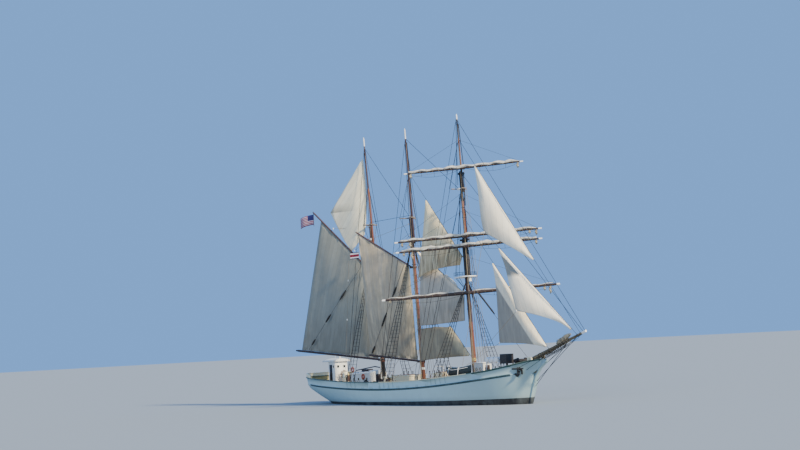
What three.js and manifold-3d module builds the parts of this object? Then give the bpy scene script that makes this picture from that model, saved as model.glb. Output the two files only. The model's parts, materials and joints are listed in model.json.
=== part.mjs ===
import * as THREE from 'three';
import { mergeVertices } from 'three/addons/utils/BufferGeometryUtils.js';
import Module from 'manifold-3d';

const wasm = await Module();
wasm.setup();

// A three-masted barquentine, built as a 1:2 scale model.
// Every length below is in metres of the full-size ship: X forward, Y to port, Z up, with the
// origin amidships on the waterline. The whole ship is scaled once, at the end of the file.
const MODEL_SCALE = 1 / 2;
const MM_PER_METRE = 1000;
const GAP = 0.0006;               // 0.3 mm of the model between touching pieces
const RUNNING_GAP = 0.0014;       // 0.7 mm at pins, collars and bearings

const degrees = (angle) => angle * Math.PI / 180;
const v3 = (x, y, z) => new THREE.Vector3(x, y, z);
const UP = v3(0, 0, 1);
const PORT = v3(0, 1, 0);
const FORWARD = v3(1, 0, 0);
const SIDES = { port: 1, starboard: -1 };

const finish = (color, roughness, metalness = 0) =>
  new THREE.MeshStandardMaterial({ color, roughness, metalness, side: THREE.DoubleSide });

const FINISHES = {
  whitePaint: finish(0xdfe3e2, 0.4),
  creamPaint: finish(0xe8ddb4, 0.5),
  greenPaint: finish(0x1f4e4b, 0.45),
  blackPaint: finish(0x1d1e20, 0.55),
  oiledSpar: finish(0x8a4a2c, 0.5),
  darkSpar: finish(0x3a2620, 0.55),
  deckPlanks: finish(0xa8835a, 0.8),
  paleCanvas: finish(0xd9cfb2, 0.95),
  greyCanvas: finish(0xa09c8c, 0.95),
  galvanised: finish(0x6d7276, 0.5, 0.7),
  bronze: finish(0xa8803f, 0.35, 0.9),
  flagCloth: finish(0x9a3440, 0.9),
};

const ship = new THREE.Group();

function addPiece(name, geometry, material) {
  const mesh = new THREE.Mesh(geometry, material);
  mesh.name = name;
  ship.add(mesh);
}

// Solids from rings of points

function signedVolume(positions, index) {
  const [a, b, c] = [v3(), v3(), v3()];
  let volume = 0;
  for (let i = 0; i < index.length; i += 3) {
    a.fromArray(positions, 3 * index[i]);
    b.fromArray(positions, 3 * index[i + 1]);
    c.fromArray(positions, 3 * index[i + 2]);
    volume += a.dot(b.cross(c)) / 6;
  }
  return volume;
}

function fromTriangles(positions, index) {
  if (signedVolume(positions, index) < 0) index.reverse();
  const geometry = new THREE.BufferGeometry();
  geometry.setAttribute('position', new THREE.Float32BufferAttribute(positions, 3));
  geometry.setIndex(index);
  geometry.computeVertexNormals();
  return geometry;
}

/** Triangles that close a ring of points, as a ladder between its two sides. */
function capOf(ring) {
  const normal = ring.reduce((sum, point, i) =>
    sum.add(point.clone().cross(ring[(i + 1) % ring.length])), v3(0, 0, 0));
  const area = ([a, b, c]) =>
    ring[b].clone().sub(ring[a]).cross(ring[c].clone().sub(ring[a])).dot(normal);
  const least = (triangles) => Math.min(...triangles.map(area));
  const triangles = [];
  for (let low = 0, high = ring.length - 1; high - low > 1; low += 1, high -= 1) {
    const ways = [
      [[low, low + 1, high], [low + 1, high - 1, high]],
      [[low, low + 1, high - 1], [low, high - 1, high]],
    ];
    const way = least(ways[0]) >= least(ways[1]) ? ways[0] : ways[1];
    triangles.push(...(high - low === 2 ? [[low, low + 1, high]] : way));
  }
  return triangles;
}

/** Closed skin through rings of equally many points; the two end rings are capped. */
function loft(rings) {
  const count = rings[0].length;
  const index = [];
  for (let ring = 0; ring < rings.length - 1; ring += 1) {
    for (let i = 0; i < count; i += 1) {
      const here = ring * count + i;
      const next = ring * count + (i + 1) % count;
      index.push(here, next, next + count, here, next + count, here + count);
    }
  }
  const last = (rings.length - 1) * count;
  capOf(rings[0]).forEach(([a, b, c]) => index.push(b, a, c));
  capOf(rings.at(-1)).forEach((corners) => index.push(...corners.map((corner) => last + corner)));
  return fromTriangles(rings.flat().flatMap((point) => point.toArray()), index);
}

function circle(centre, axis, radius, sides, toward) {
  const across = toward.clone().projectOnPlane(axis).normalize();
  const over = axis.clone().cross(across).normalize();
  return Array.from({ length: sides }, (_, i) => {
    const angle = 2 * Math.PI * i / sides;
    return centre.clone()
      .addScaledVector(across, radius * Math.cos(angle))
      .addScaledVector(over, radius * Math.sin(angle));
  });
}

/** Round spar between two points; profile holds [fraction of length, radius] pairs. */
function spar(from, to, profile, sides = 12, toward = PORT) {
  const axis = to.clone().sub(from).normalize();
  return loft(profile.map(([fraction, radius]) =>
    circle(from.clone().lerp(to, fraction), axis, radius, sides, toward)));
}

const rod = (from, to, radius, sides = 12, toward = PORT) =>
  spar(from, to, [[0, radius], [1, radius]], sides, toward);

function block(x, y, z) {
  const size = [x, y, z].map(([low, high]) => high - low);
  const middle = [x, y, z].map(([low, high]) => (high + low) / 2);
  return new THREE.BoxGeometry(...size).translate(...middle);
}

/** Flat ring about +Z, centred on the origin. */
function collar(inner, outer, height, sides = 24) {
  const half = height / 2;
  const profile = [[inner, -half], [outer, -half], [outer, half], [inner, half], [inner, -half]]
    .map(([radius, y]) => new THREE.Vector2(radius, y));
  return new THREE.LatheGeometry(profile, sides).rotateX(Math.PI / 2);
}

// Boolean joins and cuts

function toSolid(geometry) {
  const bare = geometry.clone();
  bare.deleteAttribute('normal');
  bare.deleteAttribute('uv');
  const merged = mergeVertices(bare, 1e-5);
  return new wasm.Manifold(new wasm.Mesh({
    numProp: 3,
    vertProperties: new Float32Array(merged.attributes.position.array),
    triVerts: new Uint32Array(merged.index.array),
  }));
}

function fromSolid(solid) {
  const mesh = solid.getMesh();
  return fromTriangles(Array.from(mesh.vertProperties), Array.from(mesh.triVerts));
}

const join = (...geometries) =>
  fromSolid(geometries.map(toSolid).reduce((whole, next) => whole.add(next)));

const cut = (body, ...tools) =>
  fromSolid(tools.map(toSolid).reduce((whole, next) => whole.subtract(next), toSolid(body)));

// Hull form

const HULL = {
  keelHalfWidth: 0.2, bulwarkHeight: 0.95, deckThickness: 0.08, plateThickness: 0.12,
  ringSteps: 9, waistX: -3,
};
const SHEER = { low: 3.04, aftRise: 0.8, foreRise: 1.75, aftX: -22.2, stemX: 21.4 };
const FORECASTLE = { breakX: 13.4, riseFromX: 16.4, riseToX: 19.65, railRise: 0.3, deckBelowSheer: 0.1 };
const QUARTERDECK = { breakX: -14.6, rise: 0.4 };
const CAP_RAIL = { thickness: 0.08, overhang: 0.09 };
const STRAKE = { belowSheer: 0.87, halfHeight: 0.09, chamfer: 0.03, thickness: 0.05, aftX: -20.7, foreX: 18.3,
  faded: 0.12 };
// Raised rail round the stern, which stands on the cap rail aft of foreX
const TAFFRAIL = { foreX: -18.8, height: 0.42, capDepth: 0.07, lip: 0.05, seatDepth: 0.02 };

// Sections from stern to stem: station x, half beam at the sheer, height of the lowest point,
// and the two exponents that round the section.
const SECTIONS = [
  { x: -21.5, halfBeam: 2.00, keel: 2.50, fullness: 3.4, bilge: 0.38 },
  { x: -21.2, halfBeam: 2.52, keel: 2.10, fullness: 3.0, bilge: 0.46 },
  { x: -20.5, halfBeam: 2.98, keel: 1.50, fullness: 2.5, bilge: 0.58 },
  { x: -19.0, halfBeam: 3.45, keel: 0.75, fullness: 2.0, bilge: 0.68 },
  { x: -17.2, halfBeam: 3.70, keel: 0.00, fullness: 1.9, bilge: 0.72 },
  { x: -15.9, halfBeam: 3.82, keel: -0.80, fullness: 1.7, bilge: 0.80 },
  { x: -14.6, halfBeam: 3.90, keel: -1.70, fullness: 1.6, bilge: 0.90 },
  { x: -12.0, halfBeam: 4.02, keel: -2.90, fullness: 1.7, bilge: 0.90 },
  { x: -9.0, halfBeam: 4.12, keel: -3.80, fullness: 1.9, bilge: 0.85 },
  { x: -5.0, halfBeam: 4.20, keel: -4.30, fullness: 2.2, bilge: 0.78 },
  { x: 0.0, halfBeam: 4.23, keel: -4.50, fullness: 2.5, bilge: 0.72 },
  { x: 5.0, halfBeam: 4.23, keel: -4.50, fullness: 2.5, bilge: 0.72 },
  { x: 8.5, halfBeam: 4.12, keel: -4.45, fullness: 2.2, bilge: 0.76 },
  { x: 11.5, halfBeam: 3.86, keel: -4.35, fullness: 1.8, bilge: 0.82 },
  { x: 13.3, halfBeam: 3.60, keel: -4.15, fullness: 1.6, bilge: 0.86 },
  { x: 13.5, halfBeam: 3.56, keel: -4.10, fullness: 1.6, bilge: 0.86 },
  { x: 15.5, halfBeam: 3.10, keel: -3.50, fullness: 1.4, bilge: 0.90 },
  { x: 17.2, halfBeam: 2.50, keel: -2.40, fullness: 1.3, bilge: 0.90 },
  { x: 18.1, halfBeam: 2.10, keel: -0.90, fullness: 1.2, bilge: 0.90 },
  { x: 18.5, halfBeam: 1.90, keel: 0.40, fullness: 1.1, bilge: 0.95 },
  { x: 19.1, halfBeam: 1.52, keel: 2.00, fullness: 1.1, bilge: 0.95 },
  { x: 19.65, halfBeam: 1.15, keel: 3.15, fullness: 1.1, bilge: 1.00 },
  { x: 20.35, halfBeam: 0.68, keel: 3.95, fullness: 1.1, bilge: 1.00 },
  { x: 21.0, halfBeam: 0.26, keel: 4.50, fullness: 1.0, bilge: 1.00 },
];
const HULL_END_X = 19.65;          // the body of the hull stops here; bulwarks run on to the stem

function sheerAt(x) {
  const aft = x < HULL.waistX;
  const run = (x - HULL.waistX) / ((aft ? SHEER.aftX : SHEER.stemX) - HULL.waistX);
  return SHEER.low + (aft ? SHEER.aftRise : SHEER.foreRise) * run * run;
}

const hullTop = (x) => sheerAt(x) - HULL.bulwarkHeight - HULL.deckThickness;
const railTop = (x) => {
  const { riseFromX, riseToX, railRise } = FORECASTLE;
  return sheerAt(x) + railRise * THREE.MathUtils.clamp((x - riseFromX) / (riseToX - riseFromX), 0, 1);
};

/** Half breadth of a section at height z. */
function breadthAt(section, z) {
  const height = (z - section.keel) / (sheerAt(section.x) - section.keel);
  const part = THREE.MathUtils.clamp(height, 0, 1);
  const swell = (1 - (1 - part) ** section.fullness) ** section.bilge;
  return HULL.keelHalfWidth + (section.halfBeam - HULL.keelHalfWidth) * swell;
}

/** Value of a function of the stations, straight between them, as the deck edges are. */
function betweenStations(x, value) {
  const next = Math.max(1, SECTIONS.findIndex((section) => section.x >= x));
  const [a, b] = [SECTIONS[next - 1], SECTIONS[next]];
  const part = (x - a.x) / (b.x - a.x);
  return value(a) + (value(b) - value(a)) * part;
}

const stationsBetween = (from, to) => SECTIONS.filter(({ x }) => x >= from && x <= to);

function hullBody() {
  const rings = SECTIONS.filter(({ x }) => x <= HULL_END_X).map((section) => {
    const top = hullTop(section.x);
    const side = Array.from({ length: HULL.ringSteps + 1 }, (_, i) => {
      const z = section.keel + (top - section.keel) * (i / HULL.ringSteps) ** 1.35;
      return v3(section.x, breadthAt(section, z), z);
    });
    return [...side, ...side.toReversed().map(({ x, y, z }) => v3(x, -y, z))];
  });
  return loft(rings);
}

// Bulwark walls: straight from the hull's edge up to the rail

function wallOf(section) {
  const bottom = Math.max(hullTop(section.x) + GAP, section.keel + GAP);
  const top = railTop(section.x) - CAP_RAIL.thickness;
  return { bottom, top, low: breadthAt(section, bottom), high: breadthAt(section, top) };
}

/** Outer face of the bulwark of one station at height z. */
function wallBreadth(section, z) {
  const { bottom, top, low, high } = wallOf(section);
  return low + (high - low) * (z - bottom) / (top - bottom);
}

const innerBreadth = (section, z) => wallBreadth(section, z) - HULL.plateThickness - GAP;

// Heights below the sheer at which the faces of a bulwark bend, so that its strake and the decks fit
const STRAKE_EDGES = [
  { below: STRAKE.belowSheer + STRAKE.halfHeight, out: 0 },
  { below: STRAKE.belowSheer + STRAKE.halfHeight - STRAKE.chamfer, out: STRAKE.thickness },
  { below: STRAKE.belowSheer - STRAKE.halfHeight + STRAKE.chamfer, out: STRAKE.thickness },
  { below: STRAKE.belowSheer - STRAKE.halfHeight, out: 0 },
];
const DECK_EDGES = {
  forecastle: FORECASTLE.deckBelowSheer,
  quarter: HULL.bulwarkHeight - QUARTERDECK.rise,
  main: HULL.bulwarkHeight,
};
const BEND_STEP = 0.02;            // least height between two bends where the wall runs out

const ringFor = (side, points) => (side > 0 ? points : points.toReversed());

/** Outer face of a bulwark with its rubbing strake, as [depth, z, breadth] from bottom to top. */
function outerFace(section) {
  const { bottom, top } = wallOf(section);
  const proud = section.x > STRAKE.aftX && section.x < STRAKE.foreX;
  const strake = STRAKE_EDGES.map(({ below, out }, i) =>
    [proud ? -out : -STRAKE.faded * out, Math.max(sheerAt(section.x) - below, bottom + (i + 1) * BEND_STEP)]);
  return [[0, bottom], ...strake, [0, top]].map(([depth, z]) => [depth, z, wallBreadth(section, z)]);
}

function innerFace(section) {
  const { bottom, top } = wallOf(section);
  const decks = [DECK_EDGES.main, DECK_EDGES.quarter, DECK_EDGES.forecastle]
    .map((below, i) => Math.max(sheerAt(section.x) - below, bottom + (i + 1) * BEND_STEP));
  return [bottom, ...decks, top].toReversed().map((z) => [HULL.plateThickness, z, wallBreadth(section, z)]);
}

function bulwark(side) {
  const plate = HULL.plateThickness;
  const lip = CAP_RAIL.overhang;
  const ringAt = (section, place) => {
    const { top, high } = wallOf(section);
    const cap = top + CAP_RAIL.thickness;
    const rail = [[-lip, top], [-lip, cap], [plate + lip, cap], [plate + lip, top]]
      .map(([depth, z]) => [depth, z, high]);
    return ringFor(side, [...outerFace(section), ...rail, ...innerFace(section)]
      .map(([depth, z, breadth]) => place(section.x, depth, z, breadth)));
  };
  const across = (x, depth, z) => v3(x + depth, side * GAP, z);
  const corner = (x, depth, z, breadth) => v3(x + depth, side * (breadth - depth), z);
  const along = (x, depth, z, breadth) => v3(x, side * Math.max(breadth - depth, GAP), z);
  const [transom, ...others] = SECTIONS;
  return loft([
    ringAt(transom, across),
    ringAt(transom, corner),
    ...others.map((section) => ringAt(section, along)),
  ]);
}

function taffrail() {
  const { foreX, height, capDepth, lip, seatDepth } = TAFFRAIL;
  const plate = HULL.plateThickness;
  const railRing = (x, seat, place) => {
    const foot = betweenStations(x, (section) => railTop(section.x));
    const breadth = betweenStations(x, (section) => wallOf(section).high);
    const [under, top] = [foot + height - capDepth, foot + height];
    return [[0, foot + seat], [0, under], [-lip, under], [-lip, top], [plate + lip, top], [plate + lip, under],
      [plate, under], [plate, foot + seat]].map(([depth, z]) => place(x, depth, z, breadth));
  };
  const aftX = SECTIONS[0].x;
  const corner = (side) => (x, depth, z, breadth) => v3(x + depth, side * (breadth - depth), z);
  const along = (side) => (x, depth, z, breadth) => v3(x, side * (breadth - depth), z);
  const stations = [...SECTIONS.slice(1).map(({ x }) => x).filter((x) => x < foreX), foreX];
  const rail = loft([
    ...stations.toReversed().map((x) => railRing(x, -seatDepth, along(-1))),
    railRing(aftX, GAP, corner(-1)),
    railRing(aftX, GAP, corner(1)),
    ...stations.map((x) => railRing(x, -seatDepth, along(1))),
  ]);
  return cut(rail, bulwark(-1).translate(0, 0, GAP), bulwark(1).translate(0, 0, GAP));
}

/** Everything inboard of a bulwark's outer face, for fitting pieces against it. */
const insideBulwark = (side) => loft(SECTIONS.slice(1).map((section) => {
  const face = outerFace(section).map(([depth, z, breadth]) => v3(section.x, side * (breadth - depth + GAP), z));
  return ringFor(side, [...face, v3(section.x, 0, face.at(-1).z), v3(section.x, 0, face[0].z)]);
}));

// Decks

/** Slab across the ship through the given heights of each section, highest first. */
function deckSlab(sections, heightsOf) {
  return loft(sections.map((section) => {
    const heights = heightsOf(section);
    const edge = heights.map((z) => v3(section.x, innerBreadth(section, z), z));
    return [...edge, ...edge.toReversed().map(({ x, y, z }) => v3(x, -y, z))];
  }));
}

const mainDeckTop = (x) => betweenStations(x, (section) => sheerAt(section.x) - HULL.bulwarkHeight)
  + (x < QUARTERDECK.breakX ? QUARTERDECK.rise : 0);
const forecastleTop = (x) =>
  betweenStations(x, (section) => sheerAt(section.x) - FORECASTLE.deckBelowSheer);

const deckBottom = (section) => hullTop(section.x) + GAP;

function mainDeck() {
  const { main, quarter } = DECK_EDGES;
  const fromX = SECTIONS[1].x;
  const slab = deckSlab(stationsBetween(fromX, FORECASTLE.breakX),
    (section) => [sheerAt(section.x) - main, deckBottom(section)]);
  const raised = deckSlab(stationsBetween(fromX, QUARTERDECK.breakX),
    ({ x }) => [sheerAt(x) - quarter, sheerAt(x) - main]);
  return join(slab, raised);
}

function forecastleDeck() {
  const { main, quarter, forecastle } = DECK_EDGES;
  return deckSlab(stationsBetween(FORECASTLE.breakX, HULL_END_X), (section) =>
    [forecastle, quarter, main].map((below) => sheerAt(section.x) - below).concat(deckBottom(section)));
}

// Keel, stem and rudder gear

const KEEL = { halfWidth: 0.18, bottom: -5.2, soleTop: -4.9, soleEndX: -16.3, postX: -14.6 };
// Fore edge of forefoot and stem, from the keel up to the head: x, z.
const STEM = [[12.6, -5.2], [14.8, -4.95], [16.5, -4.2], [17.7, -2.9], [18.4, -1.3], [18.8, 0.3],
  [18.92, 0.95], [19.38, 2.1], [19.93, 3.23], [20.63, 4.05], [21.22, 4.43], [21.56, 4.66], [21.58, 4.82],
  [21.42, 4.9]];
const RUDDER = { axisX: -15.95, leadX: -15.7, bottom: -4.87, top: -1.35, stockRadius: 0.12,
  stockTop: 0.1, bottomTrailX: -17.45, topTrailX: -17.0, halfThickness: 0.12, trailHalf: 0.03 };
const PROPELLER = { shaftZ: -3.3, hubRadius: 0.15, hubLength: 0.5, tipRadius: 0.8, blades: 3,
  bladeThickness: 0.05, rootChord: 0.34, tipChord: 0.42, rootPitch: 62, tipPitch: 28 };

function keelAndStem() {
  const shape = new THREE.Shape();
  shape.moveTo(KEEL.soleEndX, KEEL.bottom);
  STEM.forEach(([x, z]) => shape.lineTo(x, z));
  const rabbet = stationsBetween(KEEL.postX, SHEER.stemX).toReversed();
  shape.lineTo(rabbet[0].x + 2 * GAP, STEM.at(-1)[1]);
  rabbet.forEach(({ x, keel }) => shape.lineTo(x + Math.sign(x) * GAP, keel - GAP));
  shape.lineTo(KEEL.postX, KEEL.soleTop);
  shape.lineTo(KEEL.soleEndX, KEEL.soleTop);
  shape.closePath();
  const depth = 2 * KEEL.halfWidth;
  return new THREE.ExtrudeGeometry(shape, { depth, bevelEnabled: false, curveSegments: 1 })
    .rotateX(Math.PI / 2).translate(0, KEEL.halfWidth, 0);
}

function rudder() {
  const { axisX, leadX, halfThickness, trailHalf } = RUDDER;
  const ringAt = (z, trailX) => [[leadX, 0.05], [axisX, halfThickness], [trailX, trailHalf],
    [trailX, -trailHalf], [axisX, -halfThickness], [leadX, -0.05]].map(([x, y]) => v3(x, y, z));
  const blade = loft([ringAt(RUDDER.bottom, RUDDER.bottomTrailX), ringAt(RUDDER.top, RUDDER.topTrailX)]);
  const stock = rod(v3(axisX, 0, RUDDER.top - 0.5), v3(axisX, 0, RUDDER.stockTop), RUDDER.stockRadius);
  const pintle = rod(v3(axisX, 0, KEEL.soleTop + GAP), v3(axisX, 0, RUDDER.bottom + 0.1), 0.08);
  return join(blade, stock, pintle);
}

const rudderTrunk = () =>
  rod(v3(RUDDER.axisX, 0, -2.5), v3(RUDDER.axisX, 0, RUDDER.stockTop + 0.02), RUDDER.stockRadius + 0.006, 24);

function propeller() {
  const { hubRadius, tipRadius, bladeThickness, blades } = PROPELLER;
  const bladeRing = ([radius, chord, pitch]) => {
    const across = v3(Math.sin(degrees(90 - pitch)), Math.cos(degrees(90 - pitch)), 0);
    const through = v3(across.y, -across.x, 0);
    return [[-1, -0.3], [0, -1], [1, -0.3], [1, 0.3], [0, 1], [-1, 0.3]].map(([along, thick]) =>
      v3(0, 0, radius).addScaledVector(across, along * chord / 2)
        .addScaledVector(through, thick * bladeThickness / 2));
  };
  const sections = [[hubRadius * 0.5, PROPELLER.rootChord, PROPELLER.rootPitch],
    [tipRadius * 0.6, PROPELLER.tipChord, (PROPELLER.rootPitch + PROPELLER.tipPitch) / 2],
    [tipRadius, PROPELLER.tipChord * 0.5, PROPELLER.tipPitch]];
  const hubEnd = PROPELLER.hubLength / 2;
  const hub = spar(v3(hubEnd, 0, 0), v3(-hubEnd, 0, 0),
    [[0, hubRadius], [0.7, hubRadius], [1, hubRadius * 0.4]], 12, UP);
  const turned = Array.from({ length: blades }, (_, i) =>
    loft(sections.map(bladeRing)).rotateX(2 * Math.PI * i / blades));
  return join(hub, ...turned)
    .translate(KEEL.postX - RUNNING_GAP - hubEnd, 0, PROPELLER.shaftZ);
}

// Masts: where the axis crosses the waterline, rake, and the poles from deck to truck.
// ahead is how far a pole stands forward of the lower mast.

const MASTS = {
  fore: { footX: 9.88, rake: degrees(3.0) },
  main: { footX: 0.35, rake: degrees(3.1) },
  mizzen: { footX: -7.49, rake: degrees(4.4) },
};

const DOUBLING = { clearance: 0.001, trestleHalf: 0.36, trestleDepth: 0.16, capDepth: 0.2 };

// name, mast, ahead, bottom, top, radius at the bottom and at the top
const POLES = [
  { name: 'fore_lower_mast', mast: 'fore', ahead: 0, bottom: null, top: 18.45, thick: 0.27, thin: 0.20 },
  { name: 'fore_topmast', mast: 'fore', ahead: 0.42, bottom: 14.0, top: 25.75, thick: 0.18, thin: 0.13 },
  { name: 'fore_topgallant_mast', mast: 'fore', ahead: 0.70, bottom: 23.4, top: 32.1, thick: 0.13, thin: 0.08 },
  { name: 'main_lower_mast', mast: 'main', ahead: 0, bottom: null, top: 21.95, thick: 0.26, thin: 0.17 },
  { name: 'main_topmast', mast: 'main', ahead: 0.36, bottom: 18.6, top: 32.05, thick: 0.16, thin: 0.08 },
  { name: 'mizzen_lower_mast', mast: 'mizzen', ahead: 0, bottom: null, top: 21.95, thick: 0.25, thin: 0.16 },
  { name: 'mizzen_topmast', mast: 'mizzen', ahead: 0.34, bottom: 18.7, top: 32.3, thick: 0.15, thin: 0.08 },
];
const poleNamed = (name) => POLES.find((pole) => pole.name === name);

/** Point on a mast's axis at a height above the waterline, or a little ahead of that axis. */
function onMast(mast, height, ahead = 0) {
  const { footX, rake } = MASTS[mast];
  return v3(footX - height * Math.tan(rake) + ahead / Math.cos(rake), 0, height);
}

/** Turns a shape made about a mast's own axis (Z along the mast) to its place on the mast. */
function seatOn(mast, height, ahead = 0) {
  const place = onMast(mast, height, ahead);
  return new THREE.Matrix4().makeRotationY(-MASTS[mast].rake).setPosition(place);
}

const poleBottom = (pole) => pole.bottom ?? mainDeckTop(onMast(pole.mast, 2.2).x) + GAP;

function poleRadius(pole, height) {
  const part = (height - poleBottom(pole)) / (pole.top - poleBottom(pole));
  return pole.thick + (pole.thin - pole.thick) * part;
}

const POLE_SIDES = 16;

function pole(spec) {
  const low = poleBottom(spec);
  const from = onMast(spec.mast, low, spec.ahead);
  const to = onMast(spec.mast, spec.top, spec.ahead);
  const axis = to.clone().sub(from).normalize();
  const foot = circle(from, axis, spec.thick, POLE_SIDES, PORT);
  if (spec.bottom === null) foot.forEach((point) => { point.z = mainDeckTop(point.x) + GAP; });
  const head = [[0.985, 1], [1, 0.35]].map(([fraction, share]) =>
    circle(from.clone().lerp(to, fraction), axis, spec.thin * share, POLE_SIDES, PORT));
  return loft([foot, ...head]);
}

/** Hole tool that follows a pole through a plate or cap. */
const poleHole = (spec, height, reach = 0.6) => spar(
  onMast(spec.mast, height - reach, spec.ahead), onMast(spec.mast, height + reach, spec.ahead),
  [[0, poleRadius(spec, height - reach) + DOUBLING.clearance],
    [1, poleRadius(spec, height + reach) + DOUBLING.clearance]], POLE_SIDES);

/** Cap or trestle block, joined to the lower pole and bored for the upper one. */
function gripOn(lower, upper, height, depth) {
  const radius = poleRadius(lower, height);
  const reach = upper.ahead - lower.ahead + poleRadius(upper, height) + 0.1;
  return block([-radius - 0.06, reach], [-radius - 0.08, radius + 0.08], [-depth / 2, depth / 2])
    .applyMatrix4(seatOn(lower.mast, height, lower.ahead));
}

// Tops and crosstrees: plates through which both poles of a doubling pass

const TOPS = [
  { name: 'fore_top', lower: 'fore_lower_mast', upper: 'fore_topmast', height: 14.1, depth: 0.1,
    outline: [[-1.05, -0.95], [-0.2, -1.15], [0.55, -1.0], [1.0, -0.5], [1.0, 0.5], [0.55, 1.0], [-0.2, 1.15],
      [-1.05, 0.95]] },
  { name: 'fore_crosstrees', lower: 'fore_topmast', upper: 'fore_topgallant_mast', height: 23.8, depth: 0.09,
    outline: [[-0.55, -1.05], [-0.4, -1.05], [-0.22, -0.3], [0.5, -0.3], [0.5, 0.3], [-0.22, 0.3],
      [-0.4, 1.05], [-0.55, 1.05], [-0.45, 0.0]] },
  { name: 'main_crosstrees', lower: 'main_lower_mast', upper: 'main_topmast', height: 21.6, depth: 0.09,
    outline: [[-0.6, -1.15], [-0.45, -1.15], [-0.24, -0.34], [0.6, -0.3], [0.6, 0.3], [-0.24, 0.34],
      [-0.45, 1.15], [-0.6, 1.15], [-0.5, 0.0]] },
  { name: 'mizzen_crosstrees', lower: 'mizzen_lower_mast', upper: 'mizzen_topmast', height: 21.6, depth: 0.09,
    outline: [[-0.06, -1.0], [0.1, -1.0], [0.2, -0.3], [0.58, -0.28], [0.58, 0.28], [0.2, 0.3],
      [0.1, 1.0], [-0.06, 1.0], [-0.16, 0.3], [-0.34, 0.24], [-0.34, -0.24], [-0.16, -0.3]] },
];

function topPlate({ lower, upper, height, depth, outline }) {
  const low = poleNamed(lower);
  const shape = new THREE.Shape(outline.map(([x, y]) => new THREE.Vector2(x, y)));
  const plate = new THREE.ExtrudeGeometry(shape, { depth, bevelEnabled: false, curveSegments: 1 })
    .translate(0, 0, -depth / 2).applyMatrix4(seatOn(low.mast, height, low.ahead));
  return cut(plate, poleHole(low, height), poleHole(poleNamed(upper), height));
}

// Yards swing about a pin on a crane ahead of their mast. BRACE is the angle at which the port
// yardarm points forward at rest.

const BRACE = degrees(45);
const CRANE = { pinAhead: 0.45, yardAhead: 0.45, halfWidth: 0.05, eyeRadius: 0.09, pinRadius: 0.045 };
// furlRise: how far the furled sail bulges above the yard; 0 for a bare spar
const YARDS = [
  { name: 'course_yard', pole: 'fore_lower_mast', height: 12.35, length: 19.4, radius: 0.2, furlRise: 0.1 },
  { name: 'lower_topsail_yard', pole: 'fore_topmast', height: 17.4, length: 16.0, radius: 0.16, furlRise: 0.3 },
  { name: 'upper_topsail_yard', pole: 'fore_topmast', height: 18.5, length: 16.1, radius: 0.15, furlRise: 0.24 },
  { name: 'topgallant_yard', pole: 'fore_topgallant_mast', height: 25.95, length: 13.1, radius: 0.13,
    furlRise: 0.26 },
];

function crane(yard) {
  const carrier = poleNamed(yard.pole);
  const eyeHalf = yard.radius * 0.55;
  const arm = block([-CRANE.pinAhead, 0], [-CRANE.halfWidth, CRANE.halfWidth], [-eyeHalf * 0.8, eyeHalf * 0.8]);
  const eye = rod(v3(0, 0, -eyeHalf), v3(0, 0, eyeHalf), CRANE.eyeRadius, 16);
  const hole = rod(v3(0, 0, -1), v3(0, 0, 1), CRANE.pinRadius + RUNNING_GAP, 16);
  return cut(join(arm, eye), hole)
    .applyMatrix4(seatOn(carrier.mast, yard.height, carrier.ahead + CRANE.pinAhead));
}

/** Furled sail: a lumpy roll lashed along the top of the yard. */
function furledSail({ length, radius, furlRise }) {
  const lumps = 15;
  const reach = length * 0.45;
  const rings = Array.from({ length: lumps + 1 }, (_, i) => {
    const part = 2 * i / lumps - 1;
    const ends = Math.sqrt(Math.max(0.12, 1 - part ** 4));
    const swell = 0.5 + 0.5 * furlRise * ends * (1 + 0.35 * Math.sin(2.7 * i));
    const size = Math.max(0.06, furlRise * 0.62 * ends * (0.85 + 0.2 * Math.cos(2.1 * i)));
    const centre = v3(CRANE.yardAhead + 0.04, part * reach, radius * (0.35 + swell));
    return circle(centre, PORT, size, 7, UP);
  });
  return loft(rings);
}

function yardPiece(yard) {
  const { length, radius } = yard;
  const profile = [[0, 0.45], [0.2, 0.8], [0.42, 1], [0.58, 1], [0.8, 0.8], [1, 0.45]];
  const stick = spar(v3(CRANE.yardAhead, -length / 2, 0), v3(CRANE.yardAhead, length / 2, 0),
    profile.map(([fraction, share]) => [fraction, radius * share]), 10, UP);
  const inner = radius * 0.55 + RUNNING_GAP;
  const cheeks = [1, -1].map((way) => block([-CRANE.eyeRadius, CRANE.yardAhead],
    [-CRANE.eyeRadius, CRANE.eyeRadius], way > 0 ? [inner, radius * 0.85] : [-radius * 0.85, -inner]));
  const pin = rod(v3(0, 0, -radius * 0.7), v3(0, 0, radius * 0.7), CRANE.pinRadius, 16);
  const carrier = poleNamed(yard.pole);
  return join(stick, ...cheeks, pin, furledSail(yard))
    .rotateZ(-BRACE)
    .applyMatrix4(seatOn(carrier.mast, yard.height, carrier.ahead + CRANE.pinAhead));
}

// Sails: a grid of rows from luff to leech, bellied to starboard

const SAIL = { thickness: 0.024, columns: 6, rows: 9 };

function alongPath(points, part) {
  const lengths = points.slice(1).map((point, i) => point.distanceTo(points[i]));
  let rest = part * lengths.reduce((sum, length) => sum + length, 0);
  for (let i = 0; i < lengths.length; i += 1) {
    if (rest <= lengths[i] || i === lengths.length - 1) {
      return points[i].clone().lerp(points[i + 1], Math.min(1, rest / lengths[i]));
    }
    rest -= lengths[i];
  }
  return points.at(-1).clone();
}

/** Share of a path's length at which each of its points lies. */
function sharesOf(points) {
  const reached = points.map((_, i) =>
    points.slice(0, i).reduce((sum, point, j) => sum + point.distanceTo(points[j + 1]), 0));
  return reached.map((length) => length / reached.at(-1));
}

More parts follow.
